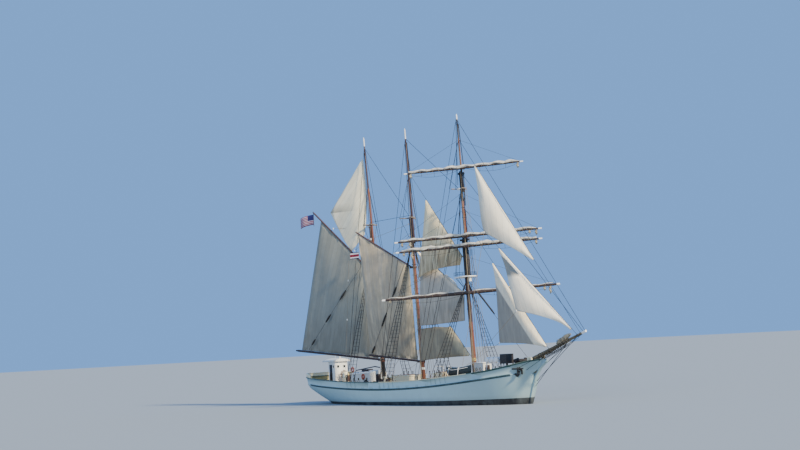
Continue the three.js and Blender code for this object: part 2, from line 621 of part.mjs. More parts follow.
/** Thin closed cloth between two edges; edges are lists of points from the foot to the head. */
function sail({ luff, leech, belly, edgeFullness = 0.12, uprightLee = false }) {
  const chord = leech[Math.floor(leech.length / 2)].clone().sub(luff[0]);
  const lee = chord.cross(luff.at(-1).clone().sub(luff[0])).normalize();
  if (uprightLee) lee.setZ(0).normalize();
  if (lee.y > 0) lee.negate();
  const even = Array.from({ length: SAIL.rows }, (_, row) => row / (SAIL.rows - 1));
  const rings = (leech.length > 2 ? sharesOf(leech) : even).map((t, row) => {
    const from = luff.length > 2 ? luff[row] : alongPath(luff, t);
    const to = alongPath(leech, t);
    const fullness = Math.sin(Math.PI * (edgeFullness + (1 - 2 * edgeFullness) * t));
    const points = Array.from({ length: SAIL.columns + 1 }, (__, i) => {
      const s = i / SAIL.columns;
      return from.clone().lerp(to, s).addScaledVector(lee, belly * Math.sin(Math.PI * s ** 0.8) * fullness);
    });
    const half = SAIL.thickness / 2;
    const front = points.map((point) => point.clone().addScaledVector(lee, half));
    const back = points.map((point) => point.clone().addScaledVector(lee, -half));
    return [...front, ...back.toReversed()];
  });
  return loft(rings);
}

// Stays: name, mast and height of the upper end, and the lower end as mast and height or x, z

const STAY_RADIUS = 0.02;
const BOWSPRIT = { heel: v3(18.7, 0, 4.72), tip: v3(27.6, 0, 7.53), thick: 0.27, thin: 0.11,
  ironWidth: 0.2, saddleX: 20.9 };

function onBowsprit(x) {
  const part = (x - BOWSPRIT.heel.x) / (BOWSPRIT.tip.x - BOWSPRIT.heel.x);
  return BOWSPRIT.heel.clone().lerp(BOWSPRIT.tip, part);
}

// A stay runs from the fore side of its pole to the bowsprit, the deck or the pole ahead of it.
const STAYS = {
  forestay: { pole: 'fore_lower_mast', high: 13.85, bowspritX: 18.95 },
  inner_jib_stay: { pole: 'fore_topmast', high: 20.6, bowspritX: 22.1 },
  outer_jib_stay: { pole: 'fore_topmast', high: 21.7, bowspritX: 26.4 },
  flying_jib_stay: { pole: 'fore_topgallant_mast', high: 29.3, bowspritX: 26.85 },
  main_stay: { pole: 'main_lower_mast', high: 18.4, toPole: 'fore_lower_mast', low: 11.9 },
  lower_main_stay: { pole: 'main_lower_mast', high: 15.2, toPole: 'fore_lower_mast', low: 5.0 },
  main_topmast_stay: { pole: 'main_topmast', high: 27.0, toPole: 'fore_lower_mast', low: 15.9 },
};

/** Ends of a stay, each a running gap away from the spar or deck that it is set up to. */
function stayEnds(spec) {
  const carrier = poleNamed(spec.pole);
  const top = onMast(carrier.mast, spec.high, carrier.ahead);
  let bottom = onBowsprit(spec.bowspritX ?? BOWSPRIT.tip.x);
  if (spec.toPole) {
    const target = poleNamed(spec.toPole);
    bottom = onMast(target.mast, spec.low, target.ahead);
  }
  return { top, bottom };
}

function stayPiece(spec) {
  const { top, bottom } = stayEnds(spec);
  const wire = rod(top, bottom, STAY_RADIUS, 12, PORT);
  const tools = [poleTool(poleNamed(spec.pole), spec.high)];
  if (spec.toPole) tools.push(poleTool(poleNamed(spec.toPole), spec.low));
  if (spec.bowspritX) tools.push(bowspritTool());
  return cut(wire, ...tools);
}

const poleTool = (spec, height) => spar(
  onMast(spec.mast, height - 1.5, spec.ahead), onMast(spec.mast, height + 1.5, spec.ahead),
  [[0, poleRadius(spec, height - 1.5) + GAP], [1, poleRadius(spec, height + 1.5) + GAP]], POLE_SIDES);

const bowspritTool = () => spar(BOWSPRIT.heel, BOWSPRIT.tip,
  [[0, BOWSPRIT.thick + GAP], [1, BOWSPRIT.thin + GAP]], 14);

function bowsprit() {
  const { heel, tip, thick, thin, ironWidth, saddleX } = BOWSPRIT;
  const stick = spar(heel, tip, [[0, thick], [1, thin]], 14);
  const heelFoot = block([heel.x, heel.x + 0.5], [-ironWidth, ironWidth],
    [forecastleTop(heel.x + 0.5) + GAP, heel.z]);
  const saddle = block([saddleX, saddleX + 0.16], [-ironWidth, ironWidth],
    [railTop(saddleX + 0.1) + GAP, onBowsprit(saddleX).z]);
  const bobstays = BOBSTAYS.map(([x, z, outboardX]) =>
    rod(v3(x, 0, z), onBowsprit(outboardX), STAY_RADIUS * 1.3, 8));
  return join(stick, heelFoot, saddle, ...bobstays);
}

// Bobstays: x, z of the stem end, and x of the bowsprit end
const BOBSTAYS = [[19.82, 2.72, 26.6], [19.55, 2.2, 25.2]];

// Jibs and staysails set on stays. luff gives the heights of the tack and head on the stay;
// edge runs from near the tack by the foot and the clew to near the head: x, y, z.
const CORNER_WIDTH = 0.16;
const STAYSAILS = [
  { name: 'flying_jib', stay: 'flying_jib_stay', luff: [15.13, 25.9], belly: 0.42, cloth: 'paleCanvas',
    edge: [[19.9, -0.3, 15.38], [18.54, -0.8, 16.35], [16.67, -1.2, 17.35], [14.46, -1.5, 18.45],
      [13.84, -1.3, 19.63], [13.28, -0.95, 21.5], [12.46, -0.45, 23.77]] },
  { name: 'outer_jib', stay: 'outer_jib_stay', luff: [7.8, 16.7], belly: 0.42, cloth: 'paleCanvas',
    edge: [[24.6, -0.35, 8.45], [23.04, -0.8, 9.03], [21.2, -1.3, 9.56], [19.28, -1.7, 9.94],
      [18.42, -1.35, 11.31], [17.35, -0.95, 12.92], [16.4, -0.45, 14.75]] },
  { name: 'inner_jib', stay: 'inner_jib_stay', luff: [6.24, 15.24], belly: 0.4, cloth: 'paleCanvas',
    edge: [[20.64, -0.4, 6.38], [18.64, -0.95, 6.69], [15.99, -1.5, 6.77],
      [15.42, -1.05, 10.1], [14.6, -0.4, 13.62]] },
  { name: 'main_topmast_staysail', stay: 'main_topmast_stay', luff: [16.35, 23.3], belly: 0.35, cloth: 'paleCanvas',
    edge: [[8.35, -0.2, 15.45], [6.2, -0.6, 15.42], [3.9, -1.0, 15.2], [1.8, -1.2, 14.5],
      [2.15, -1.0, 16.74], [2.45, -0.7, 19.32], [2.5, -0.35, 21.9]] },
  { name: 'middle_staysail', stay: 'main_stay', luff: [12.25, 17.9], belly: 0.32, cloth: 'greyCanvas',
    edge: [[8.6, -0.15, 9.36], [5.75, -0.75, 9.2], [1.71, -1.25, 9.12],
      [1.6, -0.95, 13.2], [1.45, -0.35, 16.8]] },
  { name: 'lower_staysail', stay: 'lower_main_stay', luff: [5.65, 8.9], belly: 0.2, cloth: 'greyCanvas',
    edge: [[7.72, -0.2, 5.5], [6.0, -0.5, 5.48], [4.12, -0.9, 5.4], [1.48, -1.2, 5.2],
      [1.45, -1.1, 7.1], [1.4, -0.95, 8.8], [3.6, -0.5, 8.92]] },
];

function staysail({ stay, luff, edge, belly }) {
  const { top, bottom } = stayEnds(STAYS[stay]);
  const along = bottom.clone().sub(top);
  const toClew = v3(...edge[Math.floor(edge.length / 2)]).sub(top);
  const inward = toClew.clone().sub(toClew.clone().projectOnVector(along)).normalize();
  const luffPoint = (z) => top.clone().addScaledVector(along, (z - top.z) / along.z)
    .addScaledVector(inward, STAY_RADIUS + GAP);
  const [tack, head] = luff.map(luffPoint);
  const leech = [
    tack.clone().addScaledVector(inward, CORNER_WIDTH),
    ...edge.map(([x, y, z]) => v3(x, y, z)),
    head.clone().addScaledVector(inward, CORNER_WIDTH),
  ];
  return sail({ luff: [tack, head], leech, belly });
}

// Gaff sails: boom, gaff and cloth swing together about the mast. yaw is measured to starboard
// from dead aft, run is the level distance from the mast.
const GAFF_RIGS = {
  main: { mast: 'main', pole: 'main_lower_mast', belly: 0.5, footInset: 0.35, headInset: 0.3,
    boom: { z: 5.15, endZ: 6.12, run: 7.4, yaw: 20.5, radius: 0.13 },
    gaff: { z: 15.9, endZ: 20.5, run: 6.95, yaw: 34, radius: 0.1 } },
  mizzen: { mast: 'mizzen', pole: 'mizzen_lower_mast', belly: 0.75, footInset: 0.95, headInset: 1.05,
    boom: { z: 5.5, endZ: 7.08, run: 13.2, yaw: 19, radius: 0.15 },
    gaff: { z: 15.85, endZ: 23.9, run: 7.8, yaw: 27.5, radius: 0.11 } },
};
const JAWS = { depth: 0.22, wall: 0.09, reach: 0.34, saddleDepth: 0.12 };

/** Point beside a mast: level distance run at a yaw to starboard of dead aft. */
function astern(rig, run, yaw, z) {
  return onMast(rig.mast, z).add(v3(-run * Math.cos(degrees(yaw)), -run * Math.sin(degrees(yaw)), 0));
}

/** Axis of a boom or gaff beyond its jaws by level distance from the mast, and the height at which cloth seats. */
function sparAxis(rig, { z, endZ, run, yaw, radius }) {
  const mastRadius = poleRadius(poleNamed(rig.pole), z - JAWS.depth / 2);
  const slope = Math.atan2(endZ - z, run);
  const startRun = mastRadius + JAWS.wall / 2 + radius * Math.sin(slope);
  const rise = (endZ - z) / (run - startRun);
  const at = (distance, lift = 0) =>
    astern(rig, distance, yaw, z + rise * (distance - startRun)).add(v3(0, 0, lift));
  const step = at(1).sub(at(0));
  const seat = (radius + RUNNING_GAP) * step.length() / Math.hypot(step.x, step.y);
  return { mastRadius, startRun, at, seat };
}

/** Spar with jaws round its mast; the jaws turn about the mast's own axis. */
function jawedSpar(rig, spec) {
  const { z, run, yaw, radius } = spec;
  const { mastRadius, startRun, at } = sparAxis(rig, spec);
  const ring = collar(mastRadius + RUNNING_GAP, mastRadius + JAWS.wall, JAWS.depth, POLE_SIDES * 2);
  const throat = block([-mastRadius - JAWS.reach, -mastRadius - JAWS.wall / 2], [-radius, radius],
    [-JAWS.depth / 2, JAWS.depth / 2]).rotateZ(degrees(yaw));
  const jaws = join(ring, throat).applyMatrix4(seatOn(rig.mast, z));
  return join(jaws, spar(at(startRun), at(run),
    [[0, radius * 0.9], [0.4, radius], [0.97, radius * 0.92], [1, radius * 0.5]], 12, UP));
}

/** Fixed wooden shelf round the mast, on which the boom's jaws rest. */
const boomSaddle = (rig) => collar(0.1, poleRadius(poleNamed(rig.pole), rig.boom.z) + 0.08, JAWS.saddleDepth)
  .applyMatrix4(seatOn(rig.mast, rig.boom.z - JAWS.depth / 2 - JAWS.saddleDepth / 2 - RUNNING_GAP));

function gaffSail(rig) {
  const boom = sparAxis(rig, rig.boom);
  const gaff = sparAxis(rig, rig.gaff);
  const luffRun = boom.mastRadius + JAWS.reach + 0.02;
  return sail({
    luff: [boom.at(luffRun, boom.seat), gaff.at(luffRun, -gaff.seat)],
    leech: [boom.at(rig.boom.run - rig.footInset, boom.seat), gaff.at(rig.gaff.run - rig.headInset, -gaff.seat)],
    belly: rig.belly,
    edgeFullness: 0,
    uprightLee: true,
  });
}

// Mizzen gaff topsail: run and height of each point above the tack, which is made fast to the gaff
const TOPSAIL = {
  yaw: 27.5, belly: 0.3, tackRun: 2.8,
  luff: [[0.9, 20.5], [0.35, 22.7], [0.08, 25.0], [0.08, 28.0], [0.12, 29.6]],
  leech: [[3.85, 20.2], [5.3, 23.6], [3.3, 26.0], [1.6, 28.1], [0.3, 29.65]],
};

function topsail(rig) {
  const gaff = sparAxis(rig, rig.gaff);
  const edge = (points, tackRun) => [gaff.at(tackRun, gaff.seat),
    ...points.map(([run, z]) => astern(rig, run, TOPSAIL.yaw, z))];
  return sail({
    luff: edge(TOPSAIL.luff, TOPSAIL.tackRun),
    leech: edge(TOPSAIL.leech, TOPSAIL.tackRun + 0.3),
    belly: TOPSAIL.belly,
    edgeFullness: 0,
    uprightLee: true,
  });
}

// Ensign on a short staff at the mizzen peak
const ENSIGN = { staffRadius: 0.03, drop: 1.7, hoist: 1.25, fly: 1.9, wave: 0.12, thickness: 0.02 };

function ensignStaff(rig) {
  const peak = sparAxis(rig, rig.gaff).at(rig.gaff.run - 0.08);
  return rod(peak, peak.clone().add(v3(0, 0, -ENSIGN.drop)), ENSIGN.staffRadius, 12, FORWARD);
}

function ensign(rig) {
  const peak = sparAxis(rig, rig.gaff).at(rig.gaff.run - 0.08);
  const yaw = degrees(rig.gaff.yaw);
  const aft = v3(-Math.cos(yaw), -Math.sin(yaw), 0);
  const across = v3(aft.y, -aft.x, 0);
  const columns = 8;
  const half = ENSIGN.thickness / 2;
  const ringAt = (z) => {
    const row = Array.from({ length: columns + 1 }, (_, i) => {
      const s = i / columns;
      return peak.clone().addScaledVector(aft, ENSIGN.staffRadius + GAP + ENSIGN.fly * s)
        .addScaledVector(across, ENSIGN.wave * s * Math.sin(7 * s)).setZ(z - 0.35 * s * s);
    });
    return [...row.map((point) => point.clone().addScaledVector(across, half)),
      ...row.toReversed().map((point) => point.clone().addScaledVector(across, -half))];
  };
  const top = peak.z - 0.25;
  return loft([ringAt(top - ENSIGN.hoist), ringAt(top)]);
}

// Deck furniture. Each stands a touching gap above its deck.

const WHEELHOUSE = { aftX: -18.6, foreX: -17.1, halfWidth: 0.9, top: 5.45, wall: 0.07 };
const WHEELHOUSE_DOOR = { aftX: -18.4, foreX: -17.75, sill: 0.12, head: 5.1, clearance: 0.01 };
const WHEELHOUSE_ROOF = { aftX: -19.6, foreX: -16.8, halfWidth: 1.15, crown: 5.86, edge: 5.6 };
// windows: middle x or y, and z, half width, half height
const FRONT_WINDOWS = [[-0.45, 4.85, 0.2, 0.2], [0.45, 4.85, 0.2, 0.2]];
const SIDE_WINDOWS = [[-17.42, 4.85, 0.16, 0.2]];

function wheelhouse() {
  const { aftX, foreX, halfWidth, top, wall } = WHEELHOUSE;
  const floor = Math.max(mainDeckTop(aftX), mainDeckTop(foreX)) + GAP;
  const shell = block([aftX, foreX], [-halfWidth, halfWidth], [floor, top]);
  const room = block([aftX + wall, foreX - wall], [-halfWidth + wall, halfWidth - wall],
    [floor + wall, top + 1]);
  const doorway = block([WHEELHOUSE_DOOR.aftX, WHEELHOUSE_DOOR.foreX], [-halfWidth - 1, -halfWidth + wall * 1.5],
    [floor + WHEELHOUSE_DOOR.sill, WHEELHOUSE_DOOR.head]);
  const front = FRONT_WINDOWS.map(([y, z, wide, high]) =>
    block([foreX - wall * 1.5, foreX + 1], [y - wide, y + wide], [z - high, z + high]));
  const sides = SIDE_WINDOWS.flatMap(([x, z, wide, high]) => [1, -1].map((side) =>
    block([x - wide, x + wide], side > 0 ? [halfWidth - wall * 1.5, halfWidth + 1]
      : [-halfWidth - 1, -halfWidth + wall * 1.5], [z - high, z + high])));
  return cut(shell, room, doorway, ...front, ...sides);
}

function wheelhouseDoor() {
  const { aftX, foreX, sill, head, clearance } = WHEELHOUSE_DOOR;
  const floor = Math.max(mainDeckTop(WHEELHOUSE.aftX), mainDeckTop(WHEELHOUSE.foreX)) + GAP;
  const outer = -WHEELHOUSE.halfWidth;
  return block([aftX + RUNNING_GAP, foreX - clearance], [outer, outer + WHEELHOUSE.wall * 0.8],
    [floor + sill + clearance, head - clearance]);
}

function wheelhouseRoof() {
  const { aftX, foreX, halfWidth, crown, edge } = WHEELHOUSE_ROOF;
  const under = WHEELHOUSE.top + GAP;
  const ringAt = (x, droop) => [[-1, under], [-1, edge], [-0.55, 0.7], [0, 1], [0.55, 0.7], [1, edge], [1, under]]
    .map(([share, z]) => v3(x, share * halfWidth, Math.abs(share) < 1 ? edge + (crown - edge) * z - droop : z));
  return loft([ringAt(aftX, 0.04), ringAt(aftX + 0.2, 0), ringAt(foreX - 0.2, 0), ringAt(foreX, 0.04)]);
}

const WHEEL = { x: -16.5, z: 3.85, rimRadius: 0.46, handleRadius: 0.62, spokes: 8, boxLength: 0.42 };

function steeringWheel() {
  const rim = new THREE.TorusGeometry(WHEEL.rimRadius, 0.035, 6, 24).rotateY(Math.PI / 2);
  const hub = rod(v3(-0.06, 0, 0), v3(0.07, 0, 0), 0.1, 12, UP);
  const spokes = Array.from({ length: WHEEL.spokes / 2 }, (_, i) =>
    rod(v3(0, 0, -WHEEL.handleRadius), v3(0, 0, WHEEL.handleRadius), 0.022, 6, FORWARD)
      .rotateX(2 * Math.PI * i / WHEEL.spokes));
  return join(rim, hub, ...spokes).translate(WHEEL.x, 0, WHEEL.z);
}

function steeringPedestal() {
  const fore = WHEEL.x + 0.07 + RUNNING_GAP;
  return join(
    deckBox(fore, fore + WHEEL.boxLength + 0.1, 0.3, WHEEL.z + 0.18),
    deckBox(fore + 0.12, fore + WHEEL.boxLength, 0.22, WHEEL.z + 0.3));
}

const AFT_DECKHOUSE = { aftX: -13.1, foreX: -9.0, halfWidth: 1.25, aftTop: 3.94, foreTop: 4.0, ridge: 0.28 };

function aftDeckhouse() {
  const { aftX, foreX, halfWidth, aftTop, foreTop, ridge } = AFT_DECKHOUSE;
  const ringAt = (x, top) => {
    const floor = mainDeckTop(x) + GAP;
    return [[-halfWidth, floor], [-halfWidth, top - 0.09], [-halfWidth - 0.09, top - 0.09], [-halfWidth - 0.09, top],
      [0, top + ridge], [halfWidth + 0.09, top], [halfWidth + 0.09, top - 0.09], [halfWidth, top - 0.09],
      [halfWidth, floor]].map(([y, z]) => v3(x, y, z));
  };
  const middle = -12.0;
  return loft([ringAt(aftX, aftTop), ringAt(middle, (aftTop + foreTop) / 2), ringAt(foreX, foreTop)]);
}

/** Box on the main deck whose bottom follows the deck between stations. */
function deckBox(aftX, foreX, halfWidth, top, y = 0) {
  const ringAt = (x) => [[-halfWidth, mainDeckTop(x) + GAP], [-halfWidth, top], [halfWidth, top],
    [halfWidth, mainDeckTop(x) + GAP]].map(([across, z]) => v3(x, y + across, z));
  const knuckles = SECTIONS.map(({ x }) => x).filter((x) => x > aftX && x < foreX);
  return loft([aftX, ...knuckles, foreX].map(ringAt));
}

const CARGO_HATCH = { aftX: -4.6, foreX: -1.0, halfWidth: 1.2, top: 3.62, lidLip: 0.07, lidDepth: 0.12 };

function cargoHatch() {
  const { aftX, foreX, halfWidth, top, lidLip, lidDepth } = CARGO_HATCH;
  return join(deckBox(aftX, foreX, halfWidth, top - lidDepth / 2),
    block([aftX - lidLip, foreX + lidLip], [-halfWidth - lidLip, halfWidth + lidLip], [top - lidDepth, top]));
}

const SCUTTLE = { aftX: 3.0, foreX: 4.5, halfWidth: 0.75, top: 3.8 };
const FORWARD_HOUSE = { aftX: 10.25, foreX: 11.9, halfWidth: 0.6, top: 4.8 };

function forwardHouse() {
  const { aftX, foreX, halfWidth, top } = FORWARD_HOUSE;
  return join(deckBox(aftX, foreX, halfWidth, top - 0.04),
    block([aftX - 0.08, foreX + 0.08], [-halfWidth - 0.08, halfWidth + 0.08], [top - 0.08, top]));
}

const scuttle = () => join(deckBox(SCUTTLE.aftX, SCUTTLE.foreX, SCUTTLE.halfWidth, SCUTTLE.top - 0.05),
  block([SCUTTLE.aftX - 0.06, SCUTTLE.foreX + 0.06], [-SCUTTLE.halfWidth - 0.06, SCUTTLE.halfWidth + 0.06],
    [SCUTTLE.top - 0.08, SCUTTLE.top]));

// Ship's boat on chocks, starboard side forward: x along the boat, half beam and keel height
const BOAT = { x: 9.9, y: -2.45, gunwale: 4.25, sheer: 0.3, chockHalf: 0.35 };
const BOAT_SECTIONS = [[-1.5, 0.5, 3.55], [-1.0, 0.72, 3.42], [0.1, 0.85, 3.38], [1.3, 0.66, 3.42], [2.0, 0.25, 3.6],
  [2.3, 0.05, 3.95]];

function shipsBoat() {
  const hull = loft(BOAT_SECTIONS.map(([x, half, keel]) => {
    const rim = BOAT.gunwale + BOAT.sheer * (x / 2.3) ** 2;
    const part = (share, z) => v3(BOAT.x + x, BOAT.y + share * half, z);
    const bilge = keel + (rim - keel) * 0.35;
    return [part(-0.25, keel), part(-0.85, bilge), part(-1, rim), part(-0.55, rim + 0.1), part(0.55, rim + 0.1),
      part(1, rim), part(0.85, bilge), part(0.25, keel)];
  }));
  const chocks = [-0.8, 1.0].map((x) => deckBox(BOAT.x + x - 0.08, BOAT.x + x + 0.08, BOAT.chockHalf, 3.6, BOAT.y));
  return join(hull, ...chocks);
}

// Life raft canisters lying athwart in a rack on the forecastle, and the slatted locker ahead of it
const CANISTERS = { firstX: 13.86, spacing: 0.72, count: 3, y: -1.1, halfLength: 0.6, radius: 0.3, z: 5.05 };
const LOCKER = { aftX: 15.7, foreX: 16.75, y: -0.85, halfWidth: 0.5, bottom: 4.62, top: 5.62, slats: 6 };

function footedBox(x, y, bottom, top) {
  const body = block(x, y, [bottom, top]);
  const legs = [x[0] + 0.06, x[1] - 0.06].flatMap((legX) => [y[0] + 0.06, y[1] - 0.06].map((legY) =>
    block([legX - 0.05, legX + 0.05], [legY - 0.05, legY + 0.05],
      [forecastleTop(legX + 0.05) + GAP, bottom + 0.05])));
  return join(body, ...legs);
}

function raftCanisters() {
  const { firstX, spacing, count, y, halfLength, radius, z } = CANISTERS;
  const drums = Array.from({ length: count }, (_, i) => {
    const x = firstX + i * spacing;
    return spar(v3(x, y - halfLength, z), v3(x, y + halfLength, z),
      [[0, radius * 0.7], [0.08, radius], [0.92, radius], [1, radius * 0.7]], 12, UP);
  });
  const end = firstX + (count - 1) * spacing;
  const rack = footedBox([firstX - radius, end + radius], [y - halfLength * 0.7, y + halfLength * 0.7],
    z - radius - 0.08, z - radius * 0.6);
  return join(rack, ...drums);
}

function slattedLocker() {
  const { aftX, foreX, y, halfWidth, bottom, top, slats } = LOCKER;
  const body = footedBox([aftX, foreX], [y - halfWidth, y + halfWidth], bottom, top);
  const pitch = (top - bottom) / slats;
  const grooves = Array.from({ length: slats - 1 }, (_, i) => {
    const z = bottom + (i + 1) * pitch;
    return [block([aftX - 1, foreX + 1], [y - halfWidth - 1, y - halfWidth + 0.02], [z - 0.02, z + 0.02]),
      block([aftX - 1, foreX + 1], [y + halfWidth - 0.02, y + halfWidth + 1], [z - 0.02, z + 0.02])];
  }).flat();
  return cut(body, ...grooves);
}

// Anchors lashed at the bows with the stock fore and aft, each seated on the plating by a lug
const ANCHOR = { ringX: { port: 16.2, starboard: 18.9 }, ringBelowSheer: 0.32, crownAft: 0.15, length: 0.83,
  stockAft: 0.6, stockFore: 0.65, armHalf: 0.42, rodRadius: 0.09, flukeHalf: 0.15, lugHalf: 0.07, lugDrop: 0.38 };

function anchor(side) {
  const { crownAft, armHalf, rodRadius, flukeHalf, lugHalf, lugDrop } = ANCHOR;
  const ringX = side > 0 ? ANCHOR.ringX.port : ANCHOR.ringX.starboard;
  const ringZ = sheerAt(ringX) - ANCHOR.ringBelowSheer;
  const crownZ = ringZ - ANCHOR.length;
  const crownX = ringX - crownAft;
  const outboard = betweenStations(ringX, (section) => wallBreadth(section, ringZ)) + STRAKE.thickness + 0.13;
  const point = (x, z, out = 0) => v3(x, side * (outboard + out), z);
  const shank = rod(point(ringX, ringZ + 0.08), point(crownX, crownZ), rodRadius, 8, PORT);
  const stock = rod(point(ringX - ANCHOR.stockAft, ringZ - 0.06, 0.28), point(ringX + ANCHOR.stockFore,
    ringZ - 0.06, -0.16), rodRadius * 0.8, 8, UP);
  const arms = [-1, 1].map((way) => spar(point(crownX, crownZ + 0.03), point(crownX + way * armHalf, crownZ + 0.3),
    [[0, rodRadius * 1.3], [0.7, rodRadius * 1.2], [1, rodRadius * 0.4]], 8, PORT));
  const flukes = [-1, 1].map((way) => {
    const x = crownX + way * armHalf * 0.75;
    return block([x - flukeHalf, x + flukeHalf], [-flukeHalf, flukeHalf], [crownZ + 0.2, crownZ + 0.26])
      .translate(0, side * outboard, 0);
  });
  const lug = rod(point(ringX - lugHalf, ringZ - lugDrop), point(ringX - lugHalf, ringZ - lugDrop, -0.6), lugHalf, 8,
    UP);
  return cut(join(shank, stock, ...arms, ...flukes, lug), insideBulwark(side));
}

// Assembly

const fittedPoles = {
  fore_lower_mast: () => {
    const [lower, upper] = [poleNamed('fore_lower_mast'), poleNamed('fore_topmast')];
    return cut(join(pole(lower), gripOn(lower, upper, 18.15, DOUBLING.capDepth), crane(YARDS[0])),
      poleHole(upper, 18.15));
  },
  fore_topmast: () => {
    const [lower, upper] = [poleNamed('fore_topmast'), poleNamed('fore_topgallant_mast')];
    return cut(join(pole(lower), gripOn(lower, upper, 25.45, DOUBLING.capDepth), crane(YARDS[1]), crane(YARDS[2])),
      poleHole(upper, 25.45));
  },
  fore_topgallant_mast: () => join(pole(poleNamed('fore_topgallant_mast')), crane(YARDS[3])),
  main_lower_mast: () => lowerWithTrestle('main_lower_mast', 'main_topmast', 18.95, GAFF_RIGS.main),
  mizzen_lower_mast: () => lowerWithTrestle('mizzen_lower_mast', 'mizzen_topmast', 19.05, GAFF_RIGS.mizzen),
};

function lowerWithTrestle(lowerName, upperName, height, rig) {
  const [lower, upper] = [poleNamed(lowerName), poleNamed(upperName)];
  return cut(join(pole(lower), gripOn(lower, upper, height, DOUBLING.trestleDepth), boomSaddle(rig)),
    poleHole(upper, height));
}

addPiece('hull', cut(hullBody(), rudderTrunk()), FINISHES.whitePaint);
addPiece('keel_and_stem', keelAndStem(), FINISHES.blackPaint);
addPiece('main_deck', mainDeck(), FINISHES.deckPlanks);
addPiece('forecastle_deck', forecastleDeck(), FINISHES.deckPlanks);
for (const [name, side] of Object.entries(SIDES)) {
  addPiece(`bulwark_${name}`, bulwark(side), FINISHES.whitePaint);
  addPiece(`anchor_${name}`, anchor(side), FINISHES.blackPaint);
}
addPiece('taffrail', taffrail(), FINISHES.creamPaint);
addPiece('rudder', rudder(), FINISHES.blackPaint);
addPiece('propeller', propeller(), FINISHES.bronze);
addPiece('bowsprit', bowsprit(), FINISHES.oiledSpar);
for (const spec of POLES) addPiece(spec.name, (fittedPoles[spec.name] ?? (() => pole(spec)))(), FINISHES.oiledSpar);
for (const top of TOPS) addPiece(top.name, topPlate(top), FINISHES.whitePaint);
for (const [name, spec] of Object.entries(STAYS)) addPiece(name, stayPiece(spec), FINISHES.galvanised);
for (const spec of STAYSAILS) addPiece(spec.name, staysail(spec), FINISHES[spec.cloth]);
for (const yard of YARDS) addPiece(yard.name, yardPiece(yard), FINISHES.paleCanvas);
addPiece('main_boom', jawedSpar(GAFF_RIGS.main, GAFF_RIGS.main.boom), FINISHES.darkSpar);
addPiece('main_gaff', jawedSpar(GAFF_RIGS.main, GAFF_RIGS.main.gaff), FINISHES.oiledSpar);
addPiece('main_sail', gaffSail(GAFF_RIGS.main), FINISHES.greyCanvas);
addPiece('mizzen_boom', jawedSpar(GAFF_RIGS.mizzen, GAFF_RIGS.mizzen.boom), FINISHES.darkSpar);
addPiece('mizzen_gaff', join(jawedSpar(GAFF_RIGS.mizzen, GAFF_RIGS.mizzen.gaff), ensignStaff(GAFF_RIGS.mizzen)),
  FINISHES.oiledSpar);
addPiece('mizzen_sail', gaffSail(GAFF_RIGS.mizzen), FINISHES.greyCanvas);
addPiece('mizzen_topsail', topsail(GAFF_RIGS.mizzen), FINISHES.paleCanvas);
addPiece('ensign', ensign(GAFF_RIGS.mizzen), FINISHES.flagCloth);
addPiece('wheelhouse', wheelhouse(), FINISHES.whitePaint);
addPiece('wheelhouse_roof', wheelhouseRoof(), FINISHES.whitePaint);
addPiece('wheelhouse_door', wheelhouseDoor(), FINISHES.darkSpar);
addPiece('steering_wheel', steeringWheel(), FINISHES.oiledSpar);
addPiece('steering_pedestal', steeringPedestal(), FINISHES.creamPaint);
addPiece('aft_deckhouse', aftDeckhouse(), FINISHES.whitePaint);
addPiece('cargo_hatch', cargoHatch(), FINISHES.creamPaint);
addPiece('scuttle', scuttle(), FINISHES.creamPaint);
addPiece('forward_house', forwardHouse(), FINISHES.whitePaint);
addPiece('ships_boat', shipsBoat(), FINISHES.blackPaint);
addPiece('raft_canisters', raftCanisters(), FINISHES.whitePaint);
addPiece('slatted_locker', slattedLocker(), FINISHES.darkSpar);

// The heights above are from the light waterline; she floats deeper by FLOAT_DEPTH.
const FLOAT_DEPTH = 0.4;
ship.scale.setScalar(MODEL_SCALE * MM_PER_METRE);
ship.position.setZ(-FLOAT_DEPTH * MODEL_SCALE * MM_PER_METRE);

export default ship;
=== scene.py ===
"""Looks of a three-masted barquentine, built as a 1:2 scale model that floats on a plain floor.

Lengths in this file are metres of the full-size ship, with X forward, Y to port and Z up from her
light waterline amidships. The function at() turns them into the frame of the model, which floats
deeper by FLOAT_DEPTH.
"""

import json
import logging
import math
import random
from collections.abc import Callable, Iterable, Sequence
from dataclasses import dataclass, field
from enum import Enum

import bpy
from mathutils import Matrix, Vector


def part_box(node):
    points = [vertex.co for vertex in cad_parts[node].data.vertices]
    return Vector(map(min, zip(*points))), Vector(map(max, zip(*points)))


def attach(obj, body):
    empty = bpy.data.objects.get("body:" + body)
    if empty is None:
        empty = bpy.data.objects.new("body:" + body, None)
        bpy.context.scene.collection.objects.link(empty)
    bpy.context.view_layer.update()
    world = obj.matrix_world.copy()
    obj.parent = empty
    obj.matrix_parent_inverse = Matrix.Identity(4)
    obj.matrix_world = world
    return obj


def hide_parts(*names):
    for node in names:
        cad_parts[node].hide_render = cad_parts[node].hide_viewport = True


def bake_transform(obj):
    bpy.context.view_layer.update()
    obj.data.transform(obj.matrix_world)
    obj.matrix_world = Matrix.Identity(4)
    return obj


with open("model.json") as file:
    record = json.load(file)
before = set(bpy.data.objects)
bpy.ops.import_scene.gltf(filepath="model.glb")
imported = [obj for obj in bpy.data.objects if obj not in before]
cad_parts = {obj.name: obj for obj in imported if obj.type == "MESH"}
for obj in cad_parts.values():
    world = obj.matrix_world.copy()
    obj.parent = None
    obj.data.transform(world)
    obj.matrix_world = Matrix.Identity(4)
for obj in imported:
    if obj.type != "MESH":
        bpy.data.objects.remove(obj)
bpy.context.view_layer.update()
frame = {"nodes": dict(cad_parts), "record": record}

LOG = logging.getLogger("barquentine")
SCALE = 0.5
